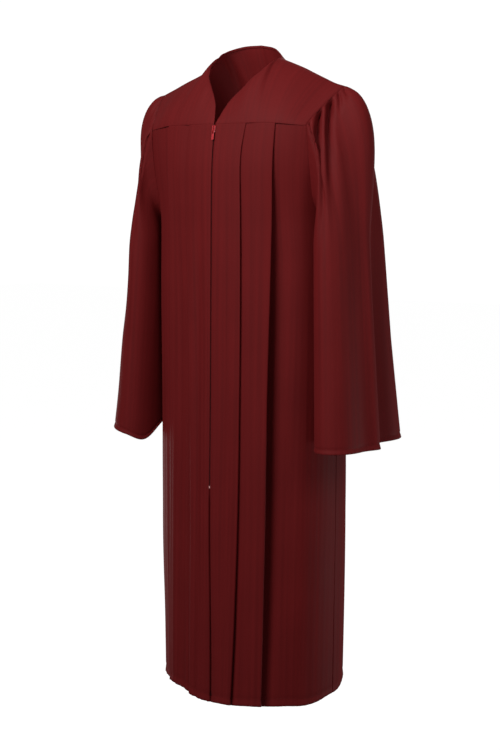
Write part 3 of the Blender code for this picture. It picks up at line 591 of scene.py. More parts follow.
@dataclass
class Seams:
    """Where the gown's pieces meet."""

    torso: TorsoForm
    shoulder_tip: Point = (0.2177, -0.008, -0.061)
    neckline: Table = indexed(
        (0.002, -0.129, -0.1292), (0.013, -0.1098, -0.0959), (0.0225, -0.1002, -0.0798),
        (0.0386, -0.0866, -0.0592), (0.0511, -0.0764, -0.042), (0.0624, -0.0638, -0.0292),
        (0.0735, -0.04, -0.0084), (0.0748, -0.015, 0.0022))
    back_neckline: Table = indexed(
        (0.0748, -0.015, 0.0022), (0.07, -0.004, 0.0088), (0.06, 0.0045, 0.0164),
        (0.035, 0.0205, 0.026), (0.0, 0.028, 0.0295))
    droop_left: Table = pairs(
        (0.0, 0.0), (0.15, 0.003), (0.3, 0.0028), (0.5, 0.0022), (0.65, 0.0015), (1.0, 0.004))
    droop_right: Table = pairs(
        (0.0, 0.0), (0.45, 0.006), (0.7, 0.009), (0.86, 0.0075), (1.0, -0.004))
    front_fall_left: Table = pairs((0.0, 0.0), (0.6, 0.0), (1.0, 0.004))
    front_fall_right: Table = pairs(
        (0.0, 0.0), (0.4, 0.0005), (0.6, 0.0035), (0.75, 0.006), (0.86, 0.0045), (1.0, -0.004))
    back_fall_left: Table = pairs(
        (0.0, 0.0), (0.25, 0.0035), (0.5, 0.006), (0.75, 0.006), (1.0, 0.004))
    back_fall_right: Table = pairs(
        (0.0, 0.0), (0.3, -0.003), (0.6, -0.0056), (0.85, -0.007), (1.0, -0.004))
    front_yoke_height: float = -0.13
    front_yoke_drop: float = 0.006
    front_drop_from: float = 0.11
    back_yoke_height: float = -0.165
    back_yoke_rise: float = 0.015
    back_rise_from: float = 0.04
    armhole_front: Table = pairs(
        (-0.136, 0.185), (-0.171, 0.1865), (-0.225, 0.186), (-0.272, 0.1855), (-0.308, 0.192),
        (-0.326, 0.2))
    armhole_back: Table = pairs(
        (-0.15, 0.19), (-0.185, 0.19), (-0.235, 0.1885), (-0.278, 0.188), (-0.31, 0.1935),
        (-0.326, 0.2))
    zip_foot: float = -0.833
    centre_edge: float = 0.0017
    slit_widening: float = 0.001
    slit_below: float = 0.006
    slit_length: float = 0.03
    opening_drift: float = 0.01
    edge: float = 0.0002

    def droop(self, side: Side) -> Table:
        """How low the shoulder seam hangs on one side."""
        return self.droop_left if side is Side.LEFT else self.droop_right

    def armhole(self, face: Face) -> Table:
        """The armhole edge of a body panel."""
        return self.armhole_front if face is Face.FRONT else self.armhole_back

    def yoke_height(self, face: Face, x: Array) -> Array:
        """The height of the yoke seam at a distance from the centre.

        Args:
            face: front or back.
            x: the distance.

        Returns:
            The height.
        """
        corner = self.armhole(face).rows[0][1]
        if face is Face.FRONT:
            return self.front_yoke_height - self.front_yoke_drop * ease(
                (x - self.front_drop_from) / (corner - self.front_drop_from))
        return self.back_yoke_height + self.back_yoke_rise * ease(
            (x - self.back_rise_from) / (corner - self.back_rise_from))

    def armhole_place(self, face: Face, share: Array) -> tuple[Array, Array]:
        """The armhole edge of a body panel.

        Args:
            face: front or back.
            share: how far from the yoke's corner to the underarm.

        Returns:
            The heights there and the runs along the form.
        """
        table = self.armhole(face)
        height = mix(table.rows[0][0], table.rows[-1][0], np.sin(np.asarray(share) * math.pi / 2.0))
        x = np.minimum(table.value(height), self.torso.levels.read("half_width", height))
        return height, self.torso.run_at_x(face, height, x)

    def opening_edge(self, height: Array) -> Array:
        """How far a front's edge stands off the middle of the opening."""
        below = self.zip_foot - self.slit_below - height
        return self.centre_edge + self.slit_widening * ease(below / self.slit_length)

    def drift(self, side: Side, height: Array) -> Array:
        """How far the opening's edge hangs off the centre plane below the zip."""
        share = ease((height - self.zip_foot) / (self.torso.hem - self.zip_foot))
        return self.opening_drift * share * side.value

    def neck_fall(self, face: Face, side: Side, share: Array) -> Array:
        """How far a neckline hangs lower on one side.

        Args:
            face: front or back.
            side: left or right.
            share: how far from the centre to the neck point.

        Returns:
            The drop.
        """
        left, right = {Face.FRONT: (self.front_fall_left, self.front_fall_right),
                       Face.BACK: (self.back_fall_left, self.back_fall_right)}[face]
        return (left if side is Side.LEFT else right).value(share)

    def neck_place(self, face: Face, side: Side, share: float) -> Array:
        """A point of the neckline at +X, from the centre (0) to the neck point (1).

        Args:
            face: front or back.
            side: whose droop it has.
            share: how far along.

        Returns:
            The point.
        """
        front = face is Face.FRONT
        point = self.neckline.curve(share) if front else self.back_neckline.curve(1.0 - share)
        point[..., 2] -= self.neck_fall(face, side, share)
        return point

    def shoulder_place(self, face: Face, side: Side, share: float) -> Array:
        """A point of the shoulder seam at +X, from the tip (0) to the neck point (1).

        Args:
            face: whose edge of the seam.
            side: whose droop it has.
            share: how far along.

        Returns:
            The point.
        """
        neck = np.array(self.neckline.rows[-1][1:])
        point = mix(np.array(self.shoulder_tip), neck, share)
        point[1] += self.edge * face.value
        point[2] -= self.droop(side).value(share)
        return point


class Strip(Enum):
    """The stretches that a pleated panel is laid out in, from its centre edge outwards."""

    FLAT = "flat"
    TURN = "turn"
    RETURN = "return"
    SIDE = "side"
    ALLOWANCE = "allowance"


@dataclass(frozen=True)
class Furrow:
    """A long soft valley in hanging cloth, or a ridge where its depth is negative."""

    top: float
    top_run: float
    foot: float
    foot_run: float
    width: float
    depth: float
    fade: float = 0.3
    past_foot: float = 1.25

    def depth_at(self, height: Array, run: Array) -> Array:
        """How deep it is at a height and a run, fading at both ends.

        Args:
            height: the height.
            run: the run from the centre line.

        Returns:
            The depth.
        """
        down = (height - self.top) / (self.foot - self.top)
        middle = mix(self.top_run, self.foot_run, ease(down))
        fade = window(down, 0.0, self.past_foot, self.fade, self.fade)
        return self.depth * fade * np.exp(-((run - middle) / self.width) ** 2)


@dataclass
class Stitching:
    """Rows of small thread stitches laid on cloth."""

    finish: Finish
    pitch: float = 0.003
    gap_share: float = 0.2
    length: float = 0.0023
    width: float = 0.00042
    height: float = 0.0003

    def lay(self, work: bmesh.types.BMesh, path: Array, outward: Array) -> int:
        """Lay one row of stitches.

        Args:
            work: the mesh that they go into.
            path: the row's places on the cloth's outer face.
            outward: the cloth's outward directions there.

        Returns:
            How many stitches it took.
        """
        run = running(path)
        count = int(run[-1] / self.pitch)
        for number in range(count):
            ends = (np.array((self.gap_share, 1.0 - self.gap_share)) + number) * self.pitch
            tail, tip = points_at(path, run, ends)
            forward = unit(tip - tail)
            normal = points_at(outward, run, ends.mean())
            normal = unit(normal - forward * float(normal @ forward))
            side = np.cross(normal, forward)
            place = np.eye(4)
            place[:3] = np.stack((forward * self.length, side * self.width, normal * self.height,
                                  (tail + tip) / 2.0), axis=1)
            bmesh.ops.create_icosphere(work, subdivisions=1, radius=0.5, matrix=Matrix(place.tolist()))
        return count

    def build(self, name: str, rows: list[tuple[Array, Array]]) -> bpy.types.Object:
        """Make one piece of thread from some rows.

        Args:
            name: the piece's name.
            rows: each row's places and outward directions.

        Returns:
            The finished thread, riding on the gown.
        """
        work = bmesh.new()
        count = sum(self.lay(work, path, outward) for path, outward in rows)
        for facet in work.faces:
            facet.smooth = True
        piece = finished_object(name, work, self.finish)
        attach(piece, GOWN_BODY)
        LOG.info("%s: %d stitches", name, count)
        return piece


@dataclass
class Sheet:
    """A cut piece of cloth, laid out as a grid of places from its top edge down."""

    name: str
    grid: Array
    node: str
    closed: bool = False
    faces_out: bool = False
    wall: float = 0.0009
    turned_rows: int = 0
    turn_gap: float = 0.0011
    turn_steps: int = 3
    hem_relief: tuple[float, ...] = (-0.0008, -0.0002, 0.0005, 0.0011)
    held: str = "hung"
    rests_on: tuple[str, ...] = ()
    stitched_row: int = 0
    stitched_column: int = 0
    column_rows: tuple[int, int] = (4, -3)
    thread_lift: float = 0.00005
    weld: float = 0.00002

    def loop(self) -> Array:
        """The grid, with its first column repeated at the end where it closes on itself."""
        return np.concatenate((self.grid, self.grid[:, :1]), axis=1) if self.closed else self.grid

    def stitches(self, thread: Stitching) -> None:
        """Sew the hem, and the front edge where the sheet has one.

        Args:
            thread: the stitching to use.
        """
        outward = self.normals()
        skin = self.grid + outward * (self.wall / 2.0 + self.thread_lift)
        rows = []
        if self.stitched_row:
            path, facing = skin[-self.stitched_row], outward[-self.stitched_row]
            if self.closed:
                path = np.concatenate((path, path[:1]))
                facing = np.concatenate((facing, facing[:1]))
            rows.append((path, facing))
        if self.stitched_column:
            part = slice(*self.column_rows), self.stitched_column
            rows.append((skin[part], outward[part]))
        if rows:
            thread.build(self.name.replace("cloth", "thread"), rows)

    def normals(self) -> Array:
        """The outward direction at every place of the grid.

        Returns:
            The directions, each of length 1.
        """
        over = np.gradient(self.grid, axis=1)
        if self.closed:
            over = (np.roll(self.grid, -1, axis=1) - np.roll(self.grid, 1, axis=1)) / 2.0
        outward = unit(np.cross(np.gradient(self.grid, axis=0), over))
        return outward if self.faces_out else -outward

    def press_hem(self) -> None:
        """Press the hem's rows: in at its stitching and a little out at its edge."""
        last = -len(self.hem_relief)
        if self.turned_rows:
            self.grid[last:] += self.normals()[last:] * np.array(self.hem_relief)[:, None, None]

    def turn_hem(self) -> None:
        """Fold the last rows' worth of cloth up behind the sheet, as a hem."""
        if not self.turned_rows:
            return
        outward = self.normals()
        edge = self.grid[-1]
        down = unit(self.grid[-1] - self.grid[-2])
        inward = -outward[-1]
        radius = self.turn_gap / 2.0
        rolled = []
        for step in range(1, self.turn_steps):
            angle = math.pi * step / self.turn_steps
            rolled.append(edge + down * radius * math.sin(angle)
                          + inward * radius * (1.0 - math.cos(angle)))
        behind = self.grid[:-self.turned_rows - 1:-1] - outward[:-self.turned_rows - 1:-1] * self.turn_gap
        self.grid = np.concatenate((self.grid, rolled, behind))

    def cut(self) -> Array:
        """The flat place of each point in the cut piece, in metres, for the cloth's weave.

        Returns:
            The places, as widths and lengths along the last axis.
        """
        loop = self.loop()
        across = np.linalg.norm(np.diff(loop, axis=1), axis=2)
        down = np.linalg.norm(np.diff(loop, axis=0), axis=2)
        middle = across[len(across) // 2]
        flat = np.zeros(loop.shape[:2] + (2,))
        flat[:, 1:, 0] = np.cumsum(middle)[None, :]
        flat[1:, :, 1] = -np.cumsum(np.median(down, axis=1))[:, None]
        return flat

    def build(self, finish: Finish, thread: Stitching) -> bpy.types.Object:
        """Make the sheet's mesh, with its cut as a UV map and a thin wall.

        Args:
            finish: what the cloth looks like.
            thread: what sews its hem.

        Returns:
            The finished object, riding on the gown in place of its solid.
        """
        self.press_hem()
        self.stitches(thread)
        self.turn_hem()
        flat = self.cut()
        rows, columns = flat.shape[:2]
        places = self.loop()
        work = bmesh.new()
        bmesh.ops.create_grid(work, x_segments=columns - 1, y_segments=rows - 1, size=1.0)
        work.verts.ensure_lookup_table()
        order = sorted(range(len(work.verts)),
                       key=lambda i: (round(-work.verts[i].co.y, 5), work.verts[i].co.x))
        cut_map = work.loops.layers.uv.new("cut")
        spot = {}
        for number, index in enumerate(order):
            row, column = divmod(number, columns)
            spot[index] = flat[row, column]
            work.verts[index].co = places[row, column]
        for quad in work.faces:
            quad.smooth = True
            for corner in quad.loops:
                corner[cut_map].uv = spot[corner.vert.index]
        bmesh.ops.remove_doubles(work, verts=work.verts, dist=self.weld)
        if not self.faces_out:
            bmesh.ops.reverse_faces(work, faces=work.faces)
        piece = finished_object(self.name, work, finish)
        shell = piece.modifiers.new("wall", "SOLIDIFY")
        shell.thickness = self.wall
        shell.offset = 0.0
        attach(piece, GOWN_BODY)
        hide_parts(self.node)
        self.declare(flat)
        LOG.info("%s: %d faces, %.2f by %.2f m of cloth", self.name, len(piece.data.polygons),
                 *self.flat_size(flat))
        return piece

    def flat_size(self, flat: Array) -> tuple[float, float]:
        """The width and length of the rectangle that the piece was cut from."""
        return float(np.ptp(flat[..., 0])), float(np.ptp(flat[..., 1]))

    def declare(self, flat: Array) -> None:
        """Work out the size that the sheet was cut to before it was hung; the result is neither kept nor
        shown.

        Args:
            flat: its places in the cut piece.
        """
        loop = self.loop()
        over = np.diff(loop, axis=1)[:-1]
        down = np.diff(loop, axis=0)[:, :-1]
        area = float(np.linalg.norm(np.cross(over, down), axis=2).sum())
        width, length = self.flat_size(flat)
        if area > width * length:
            width = area / length


def finished_object(name: str, work: bmesh.types.BMesh, finish: Finish) -> bpy.types.Object:
    """Turn a bmesh into a linked object with its material.

    Args:
        name: the object's name.
        work: the mesh's geometry, freed here.
        finish: what it looks like.

    Returns:
        The new object, at the origin.
    """
    mesh = bpy.data.meshes.new(name)
    work.to_mesh(mesh)
    work.free()
    mesh.materials.append(finish.material())
    piece = bpy.data.objects.new(name, mesh)
    bpy.context.scene.collection.objects.link(piece)
    return piece


@dataclass
class PleatedPanel:
    """A front panel, or half of the back, pressed into knife pleats under the yoke."""

    torso: TorsoForm
    seams: Seams
    face: Face
    side: Side
    pleats: Table
    furrows: tuple[Furrow, ...]
    hem_rise: Table
    ripple_depth: float
    underlap: float = 0.022
    least_underlap: float = 0.009
    least_drop: float = 0.0004
    steepest: float = 0.9
    radius: float = 0.00055
    radius_at_hem: float = 0.0024
    level_length: float = 0.004
    corner_share: float = 0.52
    settle_length: float = 0.3
    side_fold_depth: float = 0.0036
    side_fold_count: float = 1.0
    side_fold_start: float = -0.33
    side_fold_full: float = -0.75
    side_fold_rise: float = 0.3
    side_fold_fall: float = 0.45
    layer_fall: float = 0.3
    side_level_share: float = 0.55
    seam_share: float = 0.988
    least_run: float = 0.001
    groove: float = 0.0001
    groove_depth: float = 0.0008
    groove_rows: tuple[float, float] = (1.0, 0.12)
    allowance: float = 0.006
    allowance_depth: float = 0.0024
    ripple_pitch: float = 0.0135
    ripple_from: float = -0.4
    ripple_length: float = 0.35
    ripple_sway: float = 0.8
    sway_rate: float = 4.0
    overtone: float = 0.4
    overtone_rate: float = 1.7
    overtone_shift: float = 1.0
    placket_shallow: float = 0.0009
    placket_deep: float = 0.011
    placket_above: float = 0.004
    placket_length: float = 0.01
    flat_steps: int = 22
    turn_steps: int = 7
    side_steps: int = 44
    head_rows: tuple[float, ...] = (0.0, 0.0003, 0.0009, 0.0022, 0.0045, 0.008, 0.013, 0.02)
    body_rows: Steps = (0.028, 0.962, 104)
    foot_rows: Steps = (0.966, 1.0, 9)

    def down(self) -> Array:
        """The rows from the seam (0) to the hem (1), close together at both."""
        return spread(self.head_rows, self.body_rows, self.foot_rows)

    def columns(self) -> list[tuple[Strip, int, float]]:
        """The panel's columns, from the centre edge to the side seam.

        Returns:
            Each column's strip, layer and share of the strip.
        """
        found = []
        for layer in (0, 1):
            found += [(Strip.FLAT, layer, step / self.flat_steps) for step in range(self.flat_steps)]
            found += [(Strip.TURN, layer, step / self.turn_steps) for step in range(self.turn_steps + 1)]
            found += [(Strip.RETURN, layer, step / self.turn_steps) for step in range(self.turn_steps)]
        found += [(Strip.SIDE, 2, step / self.side_steps) for step in range(self.side_steps)]
        found += [(Strip.SIDE, 2, self.seam_share), (Strip.SIDE, 2, 1.0)]
        if self.face is Face.FRONT:
            found.append((Strip.ALLOWANCE, 2, 1.0))
        return found

    def fold(self, height: Array, layer: int) -> tuple[Array, ...]:
        """A pleat's measures at a height.

        Args:
            height: where.
            layer: 0 for the pleat nearest the centre, 1 for the next.

        Returns:
            The run of its fold edge, its drop to the next layer, its underlap and its radius.
        """
        name = ("first", "second")[layer]
        radius = mix(self.radius, self.radius_at_hem, ease(height / self.torso.hem))
        edge = self.torso.run_at_x(self.face, height, self.pleats.read(name + "_x", height))
        drop = np.maximum(self.pleats.read(name + "_drop", height), 4.0 * radius + self.least_drop)
        underlap = np.sqrt(self.underlap ** 2 - np.minimum(drop, self.steepest * self.underlap) ** 2)
        return edge, drop, np.maximum(underlap, self.least_underlap), radius

    def layer_start(self, height: Array, layer: int) -> tuple[Array, Array]:
        """Where a layer comes out from under the pleat before it, as a run and a depth.

        Args:
            height: the heights.
            layer: the layer, 0 at the centre.

        Returns:
            The runs and the depths.
        """
        if layer == 0:
            start = np.zeros_like(height)
            if self.face is Face.FRONT:
                start = self.seams.opening_edge(height) + self.seams.drift(self.side, height)
            return start, np.zeros_like(height)
        edge, drop, underlap, radius = self.fold(height, layer - 1)
        return edge - underlap + radius, drop

    def trace(self, strip: Strip, layer: int, at: float, height: Array,
              side_share: Value) -> tuple[Array, Array]:
        """Where a column lies at some heights.

        Args:
            strip: the stretch it is in.
            layer: the layer it is in.
            at: how far along the stretch.
            height: the heights.
            side_share: for the side stretch, how far along the layer.

        Returns:
            The runs and the depths.
        """
        if strip is Strip.ALLOWANCE:
            run = self.torso.length(self.face, height) + self.allowance
            return run, np.full_like(height, self.allowance_depth)
        if strip is Strip.SIDE:
            start, drop = self.layer_start(height, 2)
            end = self.torso.length(self.face, height) - self.seams.edge
            depth = drop * (1.0 - ease(side_share / self.side_level_share))
            depth = depth + self.side_fold(side_share, height)
            return mix(start, end, side_share), depth
        edge, drop, underlap, radius = self.fold(height, layer)
        angle = math.pi * at
        if strip is Strip.TURN:
            return edge - radius + radius * math.sin(angle), radius - radius * math.cos(angle)
        if strip is Strip.RETURN:
            return (edge - underlap + radius - radius * math.sin(angle),
                    drop - radius - radius * math.cos(angle))
        start, layer_drop = self.layer_start(height, layer)
        turned_steps = self.placket_steps(layer)
        run = mix(start, edge - radius,
                  max(at * self.flat_steps - turned_steps, 0.0) / (self.flat_steps - turned_steps))
        level_from = edge - underlap - self.level_length
        share = (run - start) / np.maximum(level_from - start, self.least_run)
        return run, layer_drop * (1.0 - ease(share)) + self.placket_turned(layer, at, height)

    def placket_steps(self, layer: int) -> int:
        """How many of a layer's columns are turned back along the front opening."""
        return 2 if layer == 0 and self.face is Face.FRONT else 0

    def placket_turned(self, layer: int, at: float, height: Array) -> Array:
        """How far in a column of the opening's turned-back edge lies.

        Args:
            layer: the column's layer.
            at: how far along the layer's flat stretch.
            height: the heights.

        Returns:
            The depths.
        """
        left = max(self.placket_steps(layer) - at * self.flat_steps, 0.0) / 2.0
        below = self.seams.zip_foot + self.placket_above - height
        return left * mix(self.placket_shallow, self.placket_deep, ease(below / self.placket_length))

    def ripple(self, height: Array, run: Array) -> Array:
        """The depth of the fine uneven ripples that hang in the cloth's lower part.

        Args:
            height: the heights.
            run: the runs from the centre line.

        Returns:
            The depths, negative outwards.
        """
        turn = 2.0 * math.pi * run / self.ripple_pitch + self.ripple_sway * np.sin(self.sway_rate * height)
        second = np.sin(self.overtone_rate * turn + self.overtone_shift)
        wave = (1.0 - self.overtone) * np.sin(turn) + self.overtone * second
        return self.ripple_depth * wave * ease((self.ripple_from - height) / self.ripple_length)

    def side_fold(self, share: Array, height: Array) -> Array:
        """The depth of the soft folds at the gown's side.

        Args:
            share: how far along the side stretch.
            height: the heights.

        Returns:
            The depths.
        """
        grown = ease((height - self.side_fold_start) / (self.side_fold_full - self.side_fold_start))
        wave = 0.5 - 0.5 * np.cos(2.0 * math.pi * self.side_fold_count * share)
        ends = window(share, 0.0, 1.0, self.side_fold_rise, self.side_fold_fall)
        return self.side_fold_depth * grown * wave * ends

    def top_of(self, strip: Strip, layer: int, at: float) -> tuple[float, float]:
        """Where a column starts at the yoke seam or the armhole, as a height and a share of the side.

        Args:
            strip: the stretch that the column is in.
            layer: its layer.
            at: how far along the stretch.

        Returns:
            The height, and the share of the side stretch or 0.
        """
        corner_height, corner_x = self.seams.armhole(self.face).rows[0]
        if strip not in (Strip.SIDE, Strip.ALLOWANCE):
            height = self.seams.yoke_height(self.face, 0.0)
            for _ in range(3):
                run = self.trace(strip, layer, at, np.array(height), 0.0)[0]
                x = self.torso.place(self.face, height, run, 0.0)[..., 0]
                height = float(self.seams.yoke_height(self.face, x))
            return height, 0.0
        level = np.array(corner_height)
        if at <= self.corner_share:
            start = self.layer_start(level, 2)[0]
            length = self.torso.length(self.face, level)
            corner = self.torso.run_at_x(self.face, level, np.array(corner_x))
            share = float((corner - start) / (length - start)) * at / self.corner_share
            x = self.torso.place(self.face, level, mix(start, length, share), 0.0)[..., 0]
            return float(self.seams.yoke_height(self.face, x)), share
        beyond = (at - self.corner_share) / (1.0 - self.corner_share)
        height, run = self.seams.armhole_place(self.face, beyond)
        start = self.layer_start(np.array(height), 2)[0]
        length = self.torso.length(self.face, height)
        return float(height), min(float((run - start) / (length - start)), 1.0)

    def grid(self) -> Array:
        """The panel's places at +X, from the seam down and from the centre to the side.

        Returns:
            The grid of places.
        """
        down = self.down()
        corner_height = self.seams.armhole(self.face).rows[0][0]
        columns = []
        for strip, layer, at in self.columns():
            top, top_share = self.top_of(strip, layer, at)
            hem = self.torso.hem + self.rise(strip, layer, at)
            height = mix(top - self.groove, hem, down)
            share = mix(top_share, at, ease((corner_height - height) / self.settle_length))
            run, depth = self.trace(strip, layer, at, height, share)
            for furrow in self.furrows:
                depth = depth + furrow.depth_at(height, run)
            depth = depth + self.ripple(height, run)
            depth[:2] += self.groove_depth * np.array(self.groove_rows)
            if strip is Strip.SIDE and at == 1.0:
                settled = ease((corner_height - height) / self.settle_length)
                depth = depth + self.groove_depth / 2.0 * settled
            height[0] = height[1]
            columns.append(self.torso.place(self.face, height, run, depth))
        return np.stack(columns, axis=1)

    def rise(self, strip: Strip, layer: int, at: float) -> float:
        """How far the hem is above its level at a column: the cloth inside a pleat hangs lower.

        Args:
            strip: the stretch that the column is in.
            layer: its layer.
            at: how far along the stretch.

        Returns:
            The rise, negative where the hem hangs lower.
        """
        foot = np.array(self.torso.hem)
        run, depth = self.trace(strip, layer, at, foot, at)
        x = self.torso.place(self.face, foot, run, 0.0)[..., 0]
        return float(self.hem_rise.value(x) - self.layer_fall * depth)


@dataclass
class Yoke:
    """The shoulder piece above a body panel, at +X, drawn smooth over the shoulders."""

    torso: TorsoForm
    seams: Seams
    face: Face
    side: Side
    fullness: float = 0.62
    edge_tension: float = 0.6
    tension_from: float = 0.45
    lean_step: float = 0.01
    front_neck_share: float = 0.52
    back_neck_share: float = 0.5
    front_neck_lift: float = 55.0
    back_neck_lift: float = 82.0
    ridge_lift_right: float = 14.0
    ridge_reach: float = 0.6
    groove: float = 0.0001
    groove_depth: float = 0.0008
    facing: float = 0.0035
    facing_gap: float = 0.0011
    facing_steps: int = 5
    facing_fade: int = 4
    seam_dip: float = 0.0004
    armhole_dip: float = 0.1
    neck_steps: int = 34
    shoulder_steps: int = 26
    rows: int = 44
    even_to: float = 0.02
    last_rows: tuple[float, ...] = (0.012, 0.004, 0.0)
    outside: tuple[float, float] = (0.1, 0.6)

    def seam_place(self, x: float) -> Array:
        """A point of the yoke seam at a distance from the centre."""
        height = self.seams.yoke_height(self.face, x)
        return self.torso.place(self.face, height, self.torso.run_at_x(self.face, height, x), 0.0)

    def seam_lean(self, x: float) -> Array:
        """The upward direction of the form's cloth at the yoke seam.

        Args:
            x: the distance from the centre.

        Returns:
            The direction.
        """
        height = float(self.seams.yoke_height(self.face, x))
        share = self.torso.run_at_x(self.face, height, x) / self.torso.length(self.face, height)
        ends = []
        for at in (height - self.lean_step, height + self.lean_step):
            ends.append(self.torso.place(self.face, at, share * self.torso.length(self.face, at), 0.0))
        return unit(ends[1] - ends[0])

    def column(self, seam_x: float, top: Array, lift: float, edge_share: float) -> Array:
        """A column of the yoke.

        Args:
            seam_x: where it leaves the yoke seam.
            top: the point where it ends.
            lift: how steeply it arrives there, in radians.
            edge_share: how far along the shoulder it is.

        Returns:
            Its places from the top down, with the lap over the panel last.
        """
        lean = self.seam_lean(seam_x)
        base = self.seam_place(seam_x) + lean * self.groove
        pull = float(np.linalg.norm(top - base)) * self.fullness
        near_edge = ease((edge_share - self.tension_from) / (1.0 - self.tension_from))
        pull *= 1.0 - self.edge_tension * float(near_edge)
        arrive = np.array((0.0, -self.face.value * math.cos(lift), math.sin(lift))) * pull
        share = np.concatenate((np.linspace(1.0, self.even_to, self.rows), self.last_rows))[:, None]
        places = hermite(base, lean * pull, top, arrive, share)
        centre = self.seams.centre_edge if self.face is Face.FRONT else 0.0
        places[:, 0] = np.maximum(places[:, 0], centre)
        return places

    def turned_in(self, grid: Array) -> Array:
        """Turn the yoke's edges in: a facing at the neckline, and a seam's groove elsewhere.

        Args:
            grid: the yoke without them.

        Returns:
            The yoke with them, a few rows more at its top and one at its foot.
        """
        outward = unit(np.cross(np.gradient(grid, axis=1), np.gradient(grid, axis=0)))
        outside = np.array((self.outside[0], self.face.value, self.outside[1]))
        outward *= np.where(np.sum(outward * outside, axis=-1, keepdims=True) < 0.0, -1.0, 1.0)
        up = unit(grid[0] - grid[1])
        inward = -outward[0]
        step = np.arange(grid.shape[1])
        faced = (1.0 - ease((step - self.neck_steps + self.facing_fade) / self.facing_fade))[:, None]
        radius = self.facing_gap / 2.0
        rows = []
        for number in range(self.facing_steps):
            back = number / (self.facing_steps - 1)
            rows.append(grid[0] + inward * self.facing_gap - up * (self.facing * faced * (1.0 - back))
                        - up * self.seam_dip * (1.0 - faced))
        rows.append(grid[0] + inward * radius + up * radius * faced)
        foot = grid[-1] - outward[-1] * self.groove_depth
        body = grid.copy()
        body[:, -1] -= outward[:, -1] * self.groove_depth * self.armhole_dip
        flange = body[:, -1:] - outward[:, -1:] * self.groove_depth
        whole = np.concatenate((rows, body, foot[None, :]))
        edge = np.concatenate((whole[:len(rows), -1:], flange, foot[None, -1:]))
        return np.concatenate((whole, edge), axis=1)

    def grid(self) -> Array:
        """The yoke's places at +X, from the top edge down and from the centre to the armhole.

        Returns:
            The grid of places.
        """
        corner = self.seams.armhole(self.face).rows[0][1]
        front = self.face is Face.FRONT
        neck_x = corner * (self.front_neck_share if front else self.back_neck_share)
        start_x = self.seams.centre_edge if front else 0.0
        neck_lift = math.radians(self.front_neck_lift if front else self.back_neck_lift)
        ridge = math.radians(self.ridge_lift_right) if front and self.side is Side.RIGHT else 0.0
        columns = []
        for step in range(self.neck_steps + 1):
            share = step / self.neck_steps
            top = self.seams.neck_place(self.face, self.side, share)
            lift = mix(neck_lift, ridge, float(ease(share)))
            columns.append(self.column(mix(start_x, neck_x, share), top, lift, 0.0))
        for step in range(1, self.shoulder_steps + 1):
            share = step / self.shoulder_steps
            top = self.seams.shoulder_place(self.face, self.side, 1.0 - share)
            lift = ridge * (1.0 - float(ease(share / self.ridge_reach)))
            columns.append(self.column(mix(neck_x, corner, share), top, lift, share))
        return np.stack(columns, axis=1)

    def cut_grid(self) -> Array:
        """The yoke's places with its edges turned in."""
        return self.turned_in(self.grid())


@dataclass(frozen=True)
class Gather:
    """A valley where the sleeve's cap is drawn up."""

    place: float
    depth: float
    length: float
    width: float = 0.045
    growth: float = 0.005
    at_seam: float = 0.15
    spreading: float = 1.9
    spread_over: float = 0.16
    squareness: float = 2.4
    held_share: float = 0.25

    def depth_at(self, along: Array, fallen: Array) -> Array:
        """How deep it is at a place along the cap and a distance below the seam.

        Args:
            along: the place along the cap.
            fallen: the distance below the seam.

        Returns:
            The depth.
        """
        width = self.width * mix(1.0, self.spreading, ease(fallen / self.spread_over))
        near = np.exp(-np.abs((along - self.place) / width) ** self.squareness)
        faded = 1.0 - ease((fallen - self.held_share * self.length) / self.length)
        return near * self.depth * mix(self.at_seam, 1.0, ease(fallen / self.growth)) * faded


@dataclass(frozen=True)
class SleeveFold:
    """A long fold down a sleeve, by degrees round from its outer side, the front positive."""

    angle: float
    spread: float
    at_cap: float
    at_cuff: float


@dataclass(frozen=True)
class Section:
    """A level section of a sleeve."""

    height: float
    centre_x: float
    centre_y: float
    half_width: float
    depth_front: float
    depth_back: float
    half_steps: int = 240

    def places(self, share: Array) -> Array:
        """Points of the section at shares of its girth from the outer side.

        Args:
            share: the shares, front side first.

        Returns:
            The points.
        """
        angles = np.linspace(0.0, 2.0 * math.pi, 2 * self.half_steps + 1)
        depths = np.where(np.sin(angles) >= 0.0, self.depth_front, self.depth_back)
        xs = self.centre_x + self.half_width * np.cos(angles)
        ys = self.centre_y - depths * np.sin(angles)
        path = np.stack((xs, ys, np.full_like(xs, self.height)), axis=-1)
        run = running(path)
        half = run[self.half_steps]
        at = np.where(share <= 0.5, half * share * 2.0, mix(half, run[-1], share * 2.0 - 1.0))
        return points_at(path, run, at)


